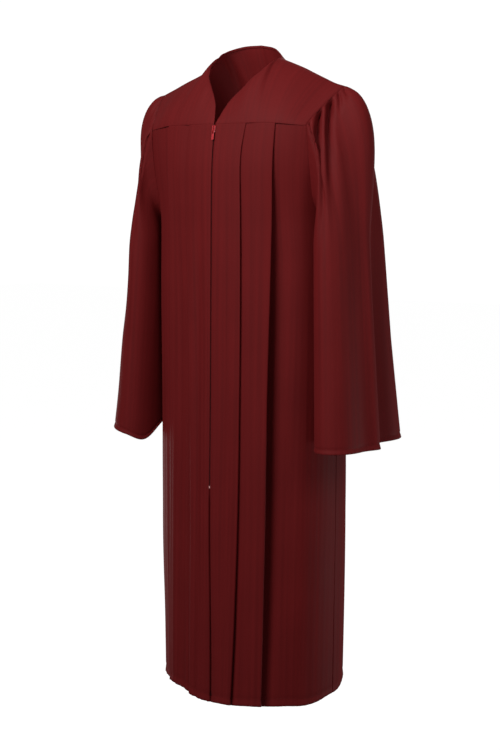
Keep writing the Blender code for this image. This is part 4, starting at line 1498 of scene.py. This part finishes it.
@dataclass
class Sleeve:
    """A long open sleeve with a gathered cap, at +X."""

    torso: TorsoForm
    seams: Seams
    yokes: tuple[Yoke, Yoke]
    cuff: Section
    cuff_drop: Table
    folds: tuple[SleeveFold, ...]
    gathers_front: tuple[Gather, ...]
    gathers_back: tuple[Gather, ...]
    cap_shape: Table
    shape_from: float
    shape_to: float
    upper_arm: Section = Section(-0.36, 0.2252, -0.005, 0.0465, 0.1, 0.1)
    corner_share: float = 0.42
    corner_from: float = 0.8
    underarm_lap: float = 0.0022
    cap_off: float = 0.0006
    underarm_off: float = 0.0004
    groove_depth: float = 0.0016
    gather_drift: float = 0.75
    drift_length: float = 0.12
    cap_front: Table = pairs(
        (0.0, 0.0), (0.01, -0.0015), (0.022, -0.0035), (0.045, -0.004), (0.07, -0.002),
        (0.1, 0.0))
    cap_fall: float = 0.7
    cap_shortening: float = 0.4
    shape_softness: float = 40.0
    front_from: float = 8.0
    front_to: float = 112.0
    press_to: float = 125.0
    front_softness: float = 30.0
    back_press: float = 0.6
    arrival: float = 0.9
    fold_from: float = 0.02
    fold_length: float = 0.6
    fold_growth: float = 0.1
    under_arm_tuck: float = 0.0018
    under_arm: float = 2.0
    body_clearance: float = 0.006
    clearance_length: float = 0.03
    cap_freedom: float = 0.06
    free_from: float = -0.19
    free_height: float = 0.055
    softness_at_seam: float = 0.001
    softness_below: float = 0.008
    cap_reach: float = 0.262
    underarm_reach: float = 0.016
    cap_rise: float = -0.26
    underarm_rise: float = 0.1
    seam_splay: float = 0.4
    cap_steps: int = 92
    underarm_steps: int = 30
    head_rows: tuple[float, ...] = (0.0, 0.0012, 0.003, 0.0055, 0.009, 0.015, 0.022, 0.03, 0.039, 0.049)
    body_rows: Steps = (0.06, 0.955, 78)
    foot_rows: Steps = (0.961, 1.0, 9)

    def down(self) -> Array:
        """The rows from the armhole (0) to the cuff (1), close together at both."""
        return spread(self.head_rows, self.body_rows, self.foot_rows)

    def yoke_edge(self, yoke: Yoke) -> Array:
        """The armhole edge of a yoke, as places, outward directions and directions off the edge.

        Args:
            yoke: the yoke.

        Returns:
            The three, one after the other.
        """
        grid = yoke.grid()
        edge = grid[:, -1]
        off = unit(edge - grid[:, -2])
        outward = unit(np.cross(off, -np.gradient(edge, axis=0)))
        outward *= np.where(outward[:, 2:] < 0.0, -1.0, 1.0)
        return np.stack((edge, outward, off))

    def cap_starts(self, yoke: Yoke, shares: Array) -> Array:
        """Starts of the sleeve's columns under a yoke's edge, from the shoulder tip down.

        Args:
            yoke: the yoke.
            shares: how far along its edge.

        Returns:
            The starts.
        """
        edge, outward, off = self.yoke_edge(yoke)
        run = running(edge)
        near_corner = ease((run / run[-1] - self.corner_from) / (1.0 - self.corner_from))[:, None]
        clear = mix(self.cap_off, self.underarm_off, near_corner)
        points = edge + outward * self.underarm_lap * near_corner + off * clear
        return points_at(points, run, shares * run[-1])

    def underarm_starts(self, face: Face, shares: Array) -> Array:
        """Starts of the sleeve's columns over a panel's edge, from the yoke's corner down.

        Args:
            face: front or back.
            shares: how far down to the underarm.

        Returns:
            The starts.
        """
        height, run = self.seams.armhole_place(face, shares)
        edge = self.torso.place(face, height, run, 0.0)
        outward = unit(self.torso.place(face, height, run, -1.0) - edge)
        off = np.zeros_like(edge)
        off[:, 1] = outward[:, 0] * -face.value * (1.0 - shares)
        off[:, 2] = shares
        return edge + outward * self.underarm_lap + unit(off) * self.underarm_off

    def ring(self) -> tuple[Array, Array, Array]:
        """The sleeve's sewn edge, round from the shoulder tip.

        Returns:
            The starts, the degrees round the sleeve, and the place along the gathered cap: 0 at the
            tip, 1 at the front corner, -1 at the back corner and 2 under the arm.
        """
        corner = 180.0 * self.corner_share
        cap = np.arange(self.cap_steps) / self.cap_steps
        under = np.arange(self.underarm_steps) / self.underarm_steps
        rising_cap = 1.0 - cap
        rising_under = 1.0 - under
        starts = np.concatenate((
            self.cap_starts(self.yokes[0], cap), self.underarm_starts(Face.FRONT, under),
            self.underarm_starts(Face.BACK, rising_under), self.cap_starts(self.yokes[1], rising_cap)))
        angles = np.concatenate((corner * cap, mix(corner, 180.0, under),
                                 360.0 - mix(corner, 180.0, rising_under), 360.0 - corner * rising_cap))
        nowhere = np.full_like(under, self.under_arm)
        places = np.concatenate((cap, nowhere, nowhere, -rising_cap))
        return starts, angles, places

    def clear_of_torso(self, places: Array, fallen: Array) -> Array:
        """Keep the sleeve outside the body panels, softly, at a distance below its seam.

        Args:
            places: the sleeve's places, changed here.
            fallen: their distances below the seam.

        Returns:
            The places.
        """
        grown = ease(fallen / self.clearance_length)
        clearance = mix(self.underarm_lap, self.body_clearance, grown)
        softness = mix(self.softness_at_seam, self.softness_below, grown)
        level = np.maximum(places[..., 2], self.torso.hem)
        least = self.torso.half_width_at(places[..., 1], level) + clearance
        least -= self.cap_freedom * ease((places[..., 2] - self.free_from) / self.free_height)
        apart = places[..., 0] - least
        places[..., 0] = 0.5 * (places[..., 0] + least + np.sqrt(apart * apart + softness ** 2))
        return places

    def grid(self) -> Array:
        """The sleeve's places at +X, from the armhole down and round from the shoulder tip.

        Returns:
            The grid of places.
        """
        starts, angles, cap_places = self.ring()
        shares = angles / 360.0
        turns = np.radians(angles)
        upper = self.upper_arm.places(shares)
        cuff = self.cuff.places(shares)
        cuff[:, 2] -= self.cuff_drop.value(angles)
        round_top = 0.5 + 0.5 * np.cos(turns)
        away = np.minimum(angles, 360.0 - angles)
        rise = mix(self.underarm_rise, self.cap_rise, round_top)
        forward = window(away, self.front_from, self.front_to, self.front_softness, self.front_softness)
        rise = rise - self.cap_fall * forward
        leave = unit(np.stack((np.ones_like(turns), -self.seam_splay * np.sin(turns), rise), axis=-1))
        reach = mix(self.underarm_reach, self.cap_reach, round_top)
        reach = (reach * (1.0 - self.cap_shortening * forward))[:, None]
        first = np.linalg.norm(upper - starts, axis=1)[:, None]
        second = np.linalg.norm(cuff - upper, axis=1)[:, None]
        fall = (cuff - upper) / second
        down = self.down()[:, None, None]
        at = down * (first + second)[None]
        curved = hermite(starts, leave * reach, upper, fall * first * self.arrival,
                         np.minimum(at / first, 1.0))
        straight = mix(upper, cuff, np.maximum((at - first) / second, 0.0))
        places = np.where(at <= first, curved, straight)
        places[1:] = self.clear_of_torso(places[1:], at[1:, :, 0])
        pressed = self.press(places, angles)
        return np.concatenate((self.flange(pressed, cap_places)[None], pressed))

    def flange(self, places: Array, cap_places: Array) -> Array:
        """The sewn edge, turned in under the yoke and against the panels.

        Args:
            places: the pressed sleeve.
            cap_places: each column's place along the cap.

        Returns:
            The row of places before the first.
        """
        outward = unit(np.cross(np.roll(places[1], -1, axis=0) - np.roll(places[1], 1, axis=0),
                                places[2] - places[0]))
        under_arm = (cap_places == self.under_arm)[:, None]
        tuck = np.array((-self.under_arm_tuck, 0.0, 0.0))
        inward = np.where(under_arm, tuck, -outward * self.groove_depth)
        return places[0] + inward

    def press(self, places: Array, angles: Array) -> Array:
        """Press the cap's gathers and the long folds into the sleeve.

        Args:
            places: the smooth sleeve.
            angles: the degrees round it of each column.

        Returns:
            The folded sleeve.
        """
        over = np.roll(places, -1, axis=1) - np.roll(places, 1, axis=1)
        outward = unit(np.cross(over, np.gradient(places, axis=0)))
        lengths = np.linalg.norm(np.diff(places, axis=0), axis=2)
        fallen = np.concatenate((np.zeros((1, places.shape[1])), np.cumsum(lengths, axis=0)))
        signed = np.where(angles > 180.0, angles - 360.0, angles)[None]
        drift = self.gather_drift * fallen / (fallen + self.drift_length)
        inward = np.zeros_like(fallen)
        for gathers, facing in ((self.gathers_front, 1.0), (self.gathers_back, -1.0)):
            along = signed * facing / (180.0 * self.corner_share) - drift
            for gather in gathers:
                inward += gather.depth_at(along, fallen)
        share = ease((fallen - self.fold_from) / self.fold_length)
        begun = ease(fallen / self.fold_growth)
        for fold in self.folds:
            near = np.exp(-((signed - fold.angle) / fold.spread) ** 2)
            inward += near * mix(fold.at_cap, fold.at_cuff, share) * begun
        held = window(signed, self.shape_from, self.shape_to, self.shape_softness, self.shape_softness)
        inward -= self.cap_shape.value(fallen) * held
        forward = window(np.abs(signed), self.front_from, self.press_to, self.front_softness,
                         self.shape_softness)
        inward -= self.cap_front.value(fallen) * forward * np.where(signed > 0.0, 1.0, self.back_press)
        return places - outward * inward[..., None]


def mirrored(grid: Array) -> Array:
    """A grid's mirror image across the centre plane."""
    return grid * np.array((-1.0, 1.0, 1.0))


@dataclass
class Cloth:
    """All the gown's cut pieces."""

    torso: TorsoForm
    seams: Seams
    finish: Finish
    thread: Stitching
    pleats_left: Table = Table(
        ("height", "first_x", "first_drop", "second_x", "second_drop"),
        ((-0.13, 0.07, 0.0026, 0.1295, 0.0026),
         (-0.19, 0.063, 0.0044, 0.127, 0.0058),
         (-0.3, 0.0635, 0.0066, 0.1235, 0.015),
         (-0.47, 0.0645, 0.0074, 0.1205, 0.024),
         (-0.65, 0.0645, 0.008, 0.1178, 0.028),
         (-0.9, 0.0635, 0.0096, 0.1172, 0.0285),
         (-1.1, 0.06, 0.011, 0.1155, 0.026),
         (-1.26, 0.0545, 0.0115, 0.1133, 0.02)))
    pleats_right: Table = Table(
        ("height", "first_x", "first_drop", "second_x", "second_drop"),
        ((-0.13, 0.0631, 0.0026, 0.1228, 0.0026),
         (-0.19, 0.0663, 0.0044, 0.1225, 0.0056),
         (-0.3, 0.066, 0.0064, 0.122, 0.0085),
         (-0.47, 0.059, 0.0068, 0.12, 0.012),
         (-0.65, 0.053, 0.0074, 0.118, 0.0145),
         (-0.9, 0.049, 0.0085, 0.116, 0.016),
         (-1.1, 0.047, 0.01, 0.115, 0.016),
         (-1.26, 0.046, 0.0115, 0.113, 0.015)))
    pleats_back: Table = Table(
        ("height", "first_x", "first_drop", "second_x", "second_drop"),
        ((-0.15, 0.048, 0.0026, 0.108, 0.0026),
         (-0.3, 0.047, 0.0066, 0.107, 0.0075),
         (-0.5, 0.048, 0.0085, 0.108, 0.011),
         (-0.8, 0.05, 0.0115, 0.11, 0.015),
         (-1.26, 0.053, 0.0145, 0.114, 0.017)))
    furrows_left: tuple[Furrow, ...] = (
        Furrow(-0.45, 0.034, -1.24, 0.03, 0.016, 0.0016),
        Furrow(-0.3, 0.096, -1.24, 0.088, 0.015, 0.002),
        Furrow(-0.6, 0.17, -1.24, 0.178, 0.02, 0.003),
    )
    furrows_right: tuple[Furrow, ...] = (
        Furrow(-0.22, 0.032, -1.24, 0.03, 0.009, 0.0036),
        Furrow(-0.2, 0.05, -1.24, 0.04, 0.007, -0.0016),
        Furrow(-0.22, 0.085, -1.24, 0.078, 0.014, 0.0042),
        Furrow(-0.5, 0.135, -1.24, 0.138, 0.01, 0.0026),
        Furrow(-0.28, 0.188, -0.98, 0.188, 0.05, -0.003),
    )
    furrows_back: tuple[Furrow, ...] = (
        Furrow(-0.4, 0.024, -1.24, 0.028, 0.014, 0.002),
        Furrow(-0.35, 0.082, -1.24, 0.086, 0.016, 0.0026),
        Furrow(-0.55, 0.15, -1.24, 0.155, 0.016, 0.0024),
    )
    cuff_left: Section = Section(-0.746, 0.2513, -0.0188, 0.057, 0.1132, 0.15)
    cuff_right: Section = Section(-0.746, 0.2513, -0.0188, 0.055, 0.096, 0.15)
    cuff_drop_left: Table = pairs(
        (0.0, -0.001), (90.0, 0.0), (180.0, 0.0), (270.0, -0.003), (320.0, -0.0045), (360.0, -0.001))
    cuff_drop_right: Table = pairs(
        (0.0, -0.002), (60.0, 0.0), (95.0, 0.01), (125.0, 0.0217), (160.0, -0.011),
        (200.0, -0.016), (270.0, 0.0), (360.0, -0.002))
    folds_left: tuple[SleeveFold, ...] = (
        SleeveFold(64.0, 15.0, -0.001, -0.004), SleeveFold(30.0, 13.0, 0.001, 0.006),
        SleeveFold(9.0, 9.0, -0.003, -0.007), SleeveFold(-26.0, 17.0, 0.008, 0.032))
    folds_right: tuple[SleeveFold, ...] = (
        SleeveFold(70.0, 18.0, 0.0, -0.001), SleeveFold(30.0, 14.0, 0.001, 0.004),
        SleeveFold(4.0, 12.0, -0.001, 0.001), SleeveFold(-30.0, 18.0, 0.006, 0.026))
    gathers_front: tuple[Gather, ...] = (
        Gather(0.05, 0.0045, 0.03, 0.03), Gather(0.19, 0.0065, 0.035, 0.034),
        Gather(0.4, 0.015, 0.21, 0.072), Gather(0.68, 0.015, 0.19, 0.078), Gather(0.94, 0.005, 0.07))
    gathers_back: tuple[Gather, ...] = (
        Gather(0.1, 0.004, 0.04), Gather(0.28, 0.0075, 0.09), Gather(0.48, 0.009, 0.14),
        Gather(0.7, 0.007, 0.1), Gather(0.92, 0.004, 0.06))
    hem_rise_left: Table = pairs(
        (0.0, -0.003), (0.05, -0.003), (0.11, -0.0005), (0.15, -0.001), (0.175, -0.0035),
        (0.187, -0.001), (0.193, 0.0055))
    hem_rise_right: Table = pairs(
        (0.0, -0.003), (0.025, -0.0022), (0.037, 0.0), (0.047, 0.003), (0.056, 0.004),
        (0.068, 0.007), (0.085, 0.0085), (0.097, 0.011), (0.12, 0.0115), (0.14, 0.0085),
        (0.17, 0.008), (0.193, 0.007))
    hem_rise_back_left: Table = pairs(
        (0.0, 0.0), (0.1, 0.002), (0.135, 0.011), (0.166, 0.0185), (0.184, 0.018), (0.193, 0.0055))
    hem_rise_back_right: Table = pairs((0.0, 0.0), (0.15, 0.0), (0.175, 0.0045), (0.193, 0.007))
    cap_shape_left: Table = pairs(
        (0.0, 0.0), (0.008, 0.0), (0.018, 0.0005), (0.035, 0.003), (0.06, 0.005), (0.095, 0.0065),
        (0.13, 0.006), (0.17, 0.005), (0.23, 0.0045), (0.32, 0.0025), (0.42, 0.0))
    cap_shape_right: Table = pairs(
        (0.0, 0.0), (0.012, 0.002), (0.03, 0.004), (0.08, 0.004), (0.13, 0.0),
        (0.19, -0.001), (0.25, -0.002), (0.32, -0.004), (0.38, -0.004), (0.45, -0.001),
        (0.56, 0.0), (0.64, 0.003), (0.7, 0.006))
    cap_range_left: tuple[float, float] = (-110.0, 25.0)
    cap_range_right: tuple[float, float] = (-60.0, 110.0)
    ripples_left: float = 0.0004
    ripples_right: float = 0.001
    hem_rows: int = 7
    hem_stitches: int = 4
    edge_stitches: int = 4

    def __post_init__(self) -> None:
        """Lay out the yokes that the sleeves are sewn to."""
        self.yokes = {(face, side): Yoke(self.torso, self.seams, face, side)
                      for face in Face for side in Side}

    def panel(self, face: Face, side: Side) -> Array:
        """A body panel's places at +X.

        Args:
            face: front or back.
            side: left or right.

        Returns:
            The grid of places.
        """
        pleats, furrows, hem_rise = {
            (Face.FRONT, Side.LEFT): (self.pleats_left, self.furrows_left, self.hem_rise_left),
            (Face.FRONT, Side.RIGHT): (self.pleats_right, self.furrows_right, self.hem_rise_right),
            (Face.BACK, Side.LEFT): (self.pleats_back, self.furrows_back, self.hem_rise_back_left),
            (Face.BACK, Side.RIGHT): (self.pleats_back, self.furrows_back, self.hem_rise_back_right),
        }[face, side]
        rippled = self.ripples_right if side is Side.RIGHT else self.ripples_left
        return PleatedPanel(self.torso, self.seams, face, side, pleats, furrows, hem_rise, rippled).grid()

    def sleeve(self, side: Side) -> Array:
        """A sleeve's places at +X.

        Args:
            side: left or right.

        Returns:
            The grid of places.
        """
        cuff, cuff_drop, folds, cap_shape, cap_range = {
            Side.LEFT: (self.cuff_left, self.cuff_drop_left, self.folds_left,
                        self.cap_shape_left, self.cap_range_left),
            Side.RIGHT: (self.cuff_right, self.cuff_drop_right, self.folds_right,
                         self.cap_shape_right, self.cap_range_right),
        }[side]
        yokes = (self.yokes[Face.FRONT, side], self.yokes[Face.BACK, side])
        return Sleeve(self.torso, self.seams, yokes, cuff, cuff_drop, folds, self.gathers_front,
                      self.gathers_back, cap_shape, *cap_range).grid()

    def sheets(self) -> list[Sheet]:
        """Every cut piece, ready to build.

        Returns:
            The sheets.
        """
        found = []
        for side in Side:
            right = side is Side.RIGHT
            name = side.name.lower()
            turn = mirrored if right else np.array
            found.append(Sheet(
                "cloth_yoke_front_" + name, turn(self.yokes[Face.FRONT, side].cut_grid()),
                "yoke_front_" + name, faces_out=not right, held="draped",
                rests_on=("cloth_front_" + name,)))
            found.append(Sheet(
                "cloth_front_" + name, turn(self.panel(Face.FRONT, side)), "front_" + name,
                faces_out=not right, turned_rows=self.hem_rows, stitched_row=self.hem_stitches,
                stitched_column=self.edge_stitches, rests_on=("cloth_yoke_front_" + name,)))
            found.append(Sheet(
                "cloth_sleeve_" + name, turn(self.sleeve(side)), "sleeve_" + name, closed=True,
                faces_out=right, turned_rows=self.hem_rows, stitched_row=self.hem_stitches,
                held="gathered", rests_on=("cloth_yoke_front_" + name,)))
        yoke = [self.yokes[Face.BACK, side].cut_grid() for side in Side]
        back = [self.panel(Face.BACK, side) for side in Side]
        found.append(Sheet("cloth_yoke_back", self.joined(*yoke), "yoke_back", held="draped",
                           rests_on=("cloth_back",)))
        found.append(Sheet("cloth_back", self.joined(*back), "back", turned_rows=self.hem_rows,
                           stitched_row=self.hem_stitches, rests_on=("cloth_yoke_back",)))
        return found

    def joined(self, left: Array, right: Array) -> Array:
        """A whole back piece from its halves at +X."""
        return np.concatenate((mirrored(right)[:, :0:-1], left), axis=1)

    def build(self) -> list[bpy.types.Object]:
        """Build every sheet."""
        return [sheet.build(self.finish, self.thread) for sheet in self.sheets()]


@dataclass
class Zip:
    """The front zip: its carried-over tapes, slider, pull tab and stop, and its row of teeth."""

    tape: Finish = Finish("woven_tape", (0.026, 0.003, 0.0034), (0.034, 0.004, 0.0044),
                          roughness=0.8, specular=0.08, woven=False)
    teeth: Finish = Finish("moulded_teeth", (0.022, 0.003, 0.0034), (0.03, 0.004, 0.0046),
                           roughness=0.4, specular=0.3, woven=False)
    enamel: Finish = Finish("red_enamel", (0.42, 0.016, 0.022), (0.46, 0.02, 0.028),
                            roughness=0.3, specular=0.5, coat=0.6, woven=False)
    stop: Finish = Finish("stop_metal", (0.72, 0.36, 0.34), (0.8, 0.44, 0.42),
                          roughness=0.3, specular=0.7, woven=False)
    pitch: float = 0.002
    tooth: Point = (0.00155, 0.0015, 0.00086)
    tooth_offset: float = 0.00052
    tooth_depth: float = 0.0013
    tooth_bevel: float = 0.00018

    def teeth_rows(self, torso: TorsoForm) -> bpy.types.Object:
        """Build both rows of teeth, interlocked, in place of the chain.

        Args:
            torso: the form that they lie on.

        Returns:
            The finished teeth.
        """
        low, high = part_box("zip_chain")
        work = bmesh.new()
        count = int((high[2] - low[2]) / self.pitch)
        for number in range(2 * count):
            height = low[2] + (number + 0.5) * self.pitch / 2.0
            centre = torso.place(Face.FRONT, height, 0.0, self.tooth_depth)
            centre[0] = self.tooth_offset * (1.0 if number % 2 else -1.0)
            place = Matrix.Translation(Vector(centre)) @ Matrix.Diagonal(Vector(self.tooth + (1.0,)))
            bmesh.ops.create_cube(work, size=1.0, matrix=place)
        bmesh.ops.bevel(work, geom=work.edges[:], offset=self.tooth_bevel, affect="EDGES", segments=1,
                        profile=0.5, material=-1)
        piece = finished_object("teeth_rows", work, self.teeth)
        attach(piece, GOWN_BODY)
        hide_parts("zip_chain")
        LOG.info("teeth_rows: %d teeth", 2 * count)
        return piece

    def build(self, torso: TorsoForm) -> None:
        """Build the teeth and give each carried-over piece its finish.

        Args:
            torso: the form that the zip lies on.
        """
        self.teeth_rows(torso)
        finishes = {"zip_tape_left": self.tape, "zip_tape_right": self.tape,
                    "zip_slider": self.enamel, "zip_pull": self.enamel, "zip_bottom_stop": self.stop}
        for name, finish in finishes.items():
            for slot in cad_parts[name].material_slots:
                slot.material = finish.material()
        LOG.info("zip: %d pieces dressed", len(finishes))


@dataclass(frozen=True)
class Lamp:
    """A soft round light."""

    name: str
    place: Point
    size: float
    power: float
    aim: Point = (0.0, 0.0, -0.5)

    def hang(self) -> None:
        """Hang it in the scene, turned to what it lights."""
        lamp = bpy.data.objects.new(self.name, bpy.data.lights.new(self.name, "AREA"))
        lamp.data.shape = "DISK"
        lamp.data.size = self.size
        lamp.data.energy = self.power
        lamp.location = self.place
        lamp.rotation_euler = (Vector(self.aim) - Vector(self.place)).to_track_quat("-Z", "Y").to_euler()
        bpy.context.scene.collection.objects.link(lamp)


@dataclass
class Studio:
    """A plain pale floor, soft light and the photograph's camera."""

    azimuth: float = 35.0
    distance: float = 2.895
    camera_height: float = -0.2676
    pitch: float = 7.1
    lens: float = 68.9
    sensor: float = 36.0
    off_centre: float = 3.5 / 750.0
    floor_height: float = -1.6
    floor_size: float = 14.0
    ambient: float = 0.13
    floor_lift: float = 0.97
    surround: float = 1.05
    floor_finish: Finish = Finish("studio_floor", (0.19, 0.19, 0.19), (0.2, 0.2, 0.2), roughness=0.9,
                                  specular=0.0, woven=False, relief=0.0)
    white: tuple[float, ...] = (1.0, 1.0, 1.0, 1.0)
    lamps: tuple[Lamp, ...] = (
        Lamp("key", (-0.15, -2.2, 1.2), 1.4, 63.0),
        Lamp("fill", (1.15, -0.35, -0.05), 0.5, 2.6, (0.27, -0.03, -0.45)),
        Lamp("neck", (0.35, -0.6, 0.8), 0.3, 1.2, (0.0, 0.02, -0.03)),
        Lamp("inside", (0.02, -0.06, -0.16), 0.08, 0.1, (-0.03, 0.06, -0.02)),
        Lamp("rim_left", (-1.6, 0.25, -1.15), 0.5, 4.0, (-0.17, -0.08, -1.0)),
        Lamp("rim_right", (1.5, 1.1, -1.25), 0.5, 9.0, (0.17, 0.08, -0.95)),
        Lamp("back", (-0.3, 2.8, 1.0), 1.4, 20.0))

    def camera(self) -> None:
        """Stand the camera where the photograph was taken from."""
        turn = math.radians(self.azimuth)
        eye = bpy.data.objects.new("camera", bpy.data.cameras.new("camera"))
        eye.data.lens = self.lens
        eye.data.sensor_width = self.sensor
        eye.data.shift_x = -self.off_centre
        eye.location = (self.distance * math.sin(turn), -self.distance * math.cos(turn),
                        self.camera_height)
        eye.rotation_euler = (math.radians(90.0 - self.pitch), 0.0, turn)
        bpy.context.scene.collection.objects.link(eye)
        bpy.context.scene.camera = eye

    def floor(self) -> None:
        """Lay the pale floor, well below the hem."""
        work = bmesh.new()
        bmesh.ops.create_grid(work, x_segments=2, y_segments=2, size=self.floor_size,
                              matrix=Matrix.Translation((0.0, 0.0, self.floor_height)))
        ground = finished_object("studio_floor", work, self.floor_finish)
        nodes = Nodes(ground.data.materials[0].node_tree)
        shader = ground.data.materials[0].node_tree.nodes["Principled BSDF"]
        shader.inputs["Emission Color"].default_value = self.white
        path = nodes.add("ShaderNodeLightPath")
        nodes.link(nodes.maths("MULTIPLY", path.outputs["Is Camera Ray"], self.floor_lift),
                   shader.inputs["Emission Strength"])

    def world(self) -> None:
        """A white surround that lights the gown less than it shows."""
        world = bpy.data.worlds.new("studio")
        world.use_nodes = True
        bpy.context.scene.world = world
        nodes = Nodes(world.node_tree)
        seen = world.node_tree.nodes["Background"]
        seen.inputs["Color"].default_value = self.white
        path = nodes.add("ShaderNodeLightPath")
        strength = nodes.maths("MULTIPLY_ADD", path.outputs["Is Camera Ray"],
                               self.surround - self.ambient, self.ambient)
        nodes.link(strength, seen.inputs["Strength"])

    def build(self) -> None:
        """Set the studio up."""
        self.camera()
        self.floor()
        self.world()
        for lamp in self.lamps:
            lamp.hang()
        bpy.context.scene.view_settings.view_transform = "Standard"


def main() -> None:
    """Build the gown and its studio in order."""
    logging.basicConfig(level=logging.INFO, format="%(message)s")
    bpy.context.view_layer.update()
    torso = TorsoForm()
    seams = Seams(torso)
    maroon = Finish("maroon_cloth", (0.1, 0.0058, 0.0064), (0.156, 0.009, 0.0098),
                    roughness=0.66, sheen=0.1, specular=0.1)
    thread = Finish("maroon_thread", (0.09, 0.0052, 0.0058), (0.12, 0.007, 0.0078),
                    roughness=0.5, specular=0.2, woven=False)
    Cloth(torso, seams, maroon, Stitching(thread)).build()
    Zip().build(torso)
    Studio().build()


if __name__ == "__main__":
    main()
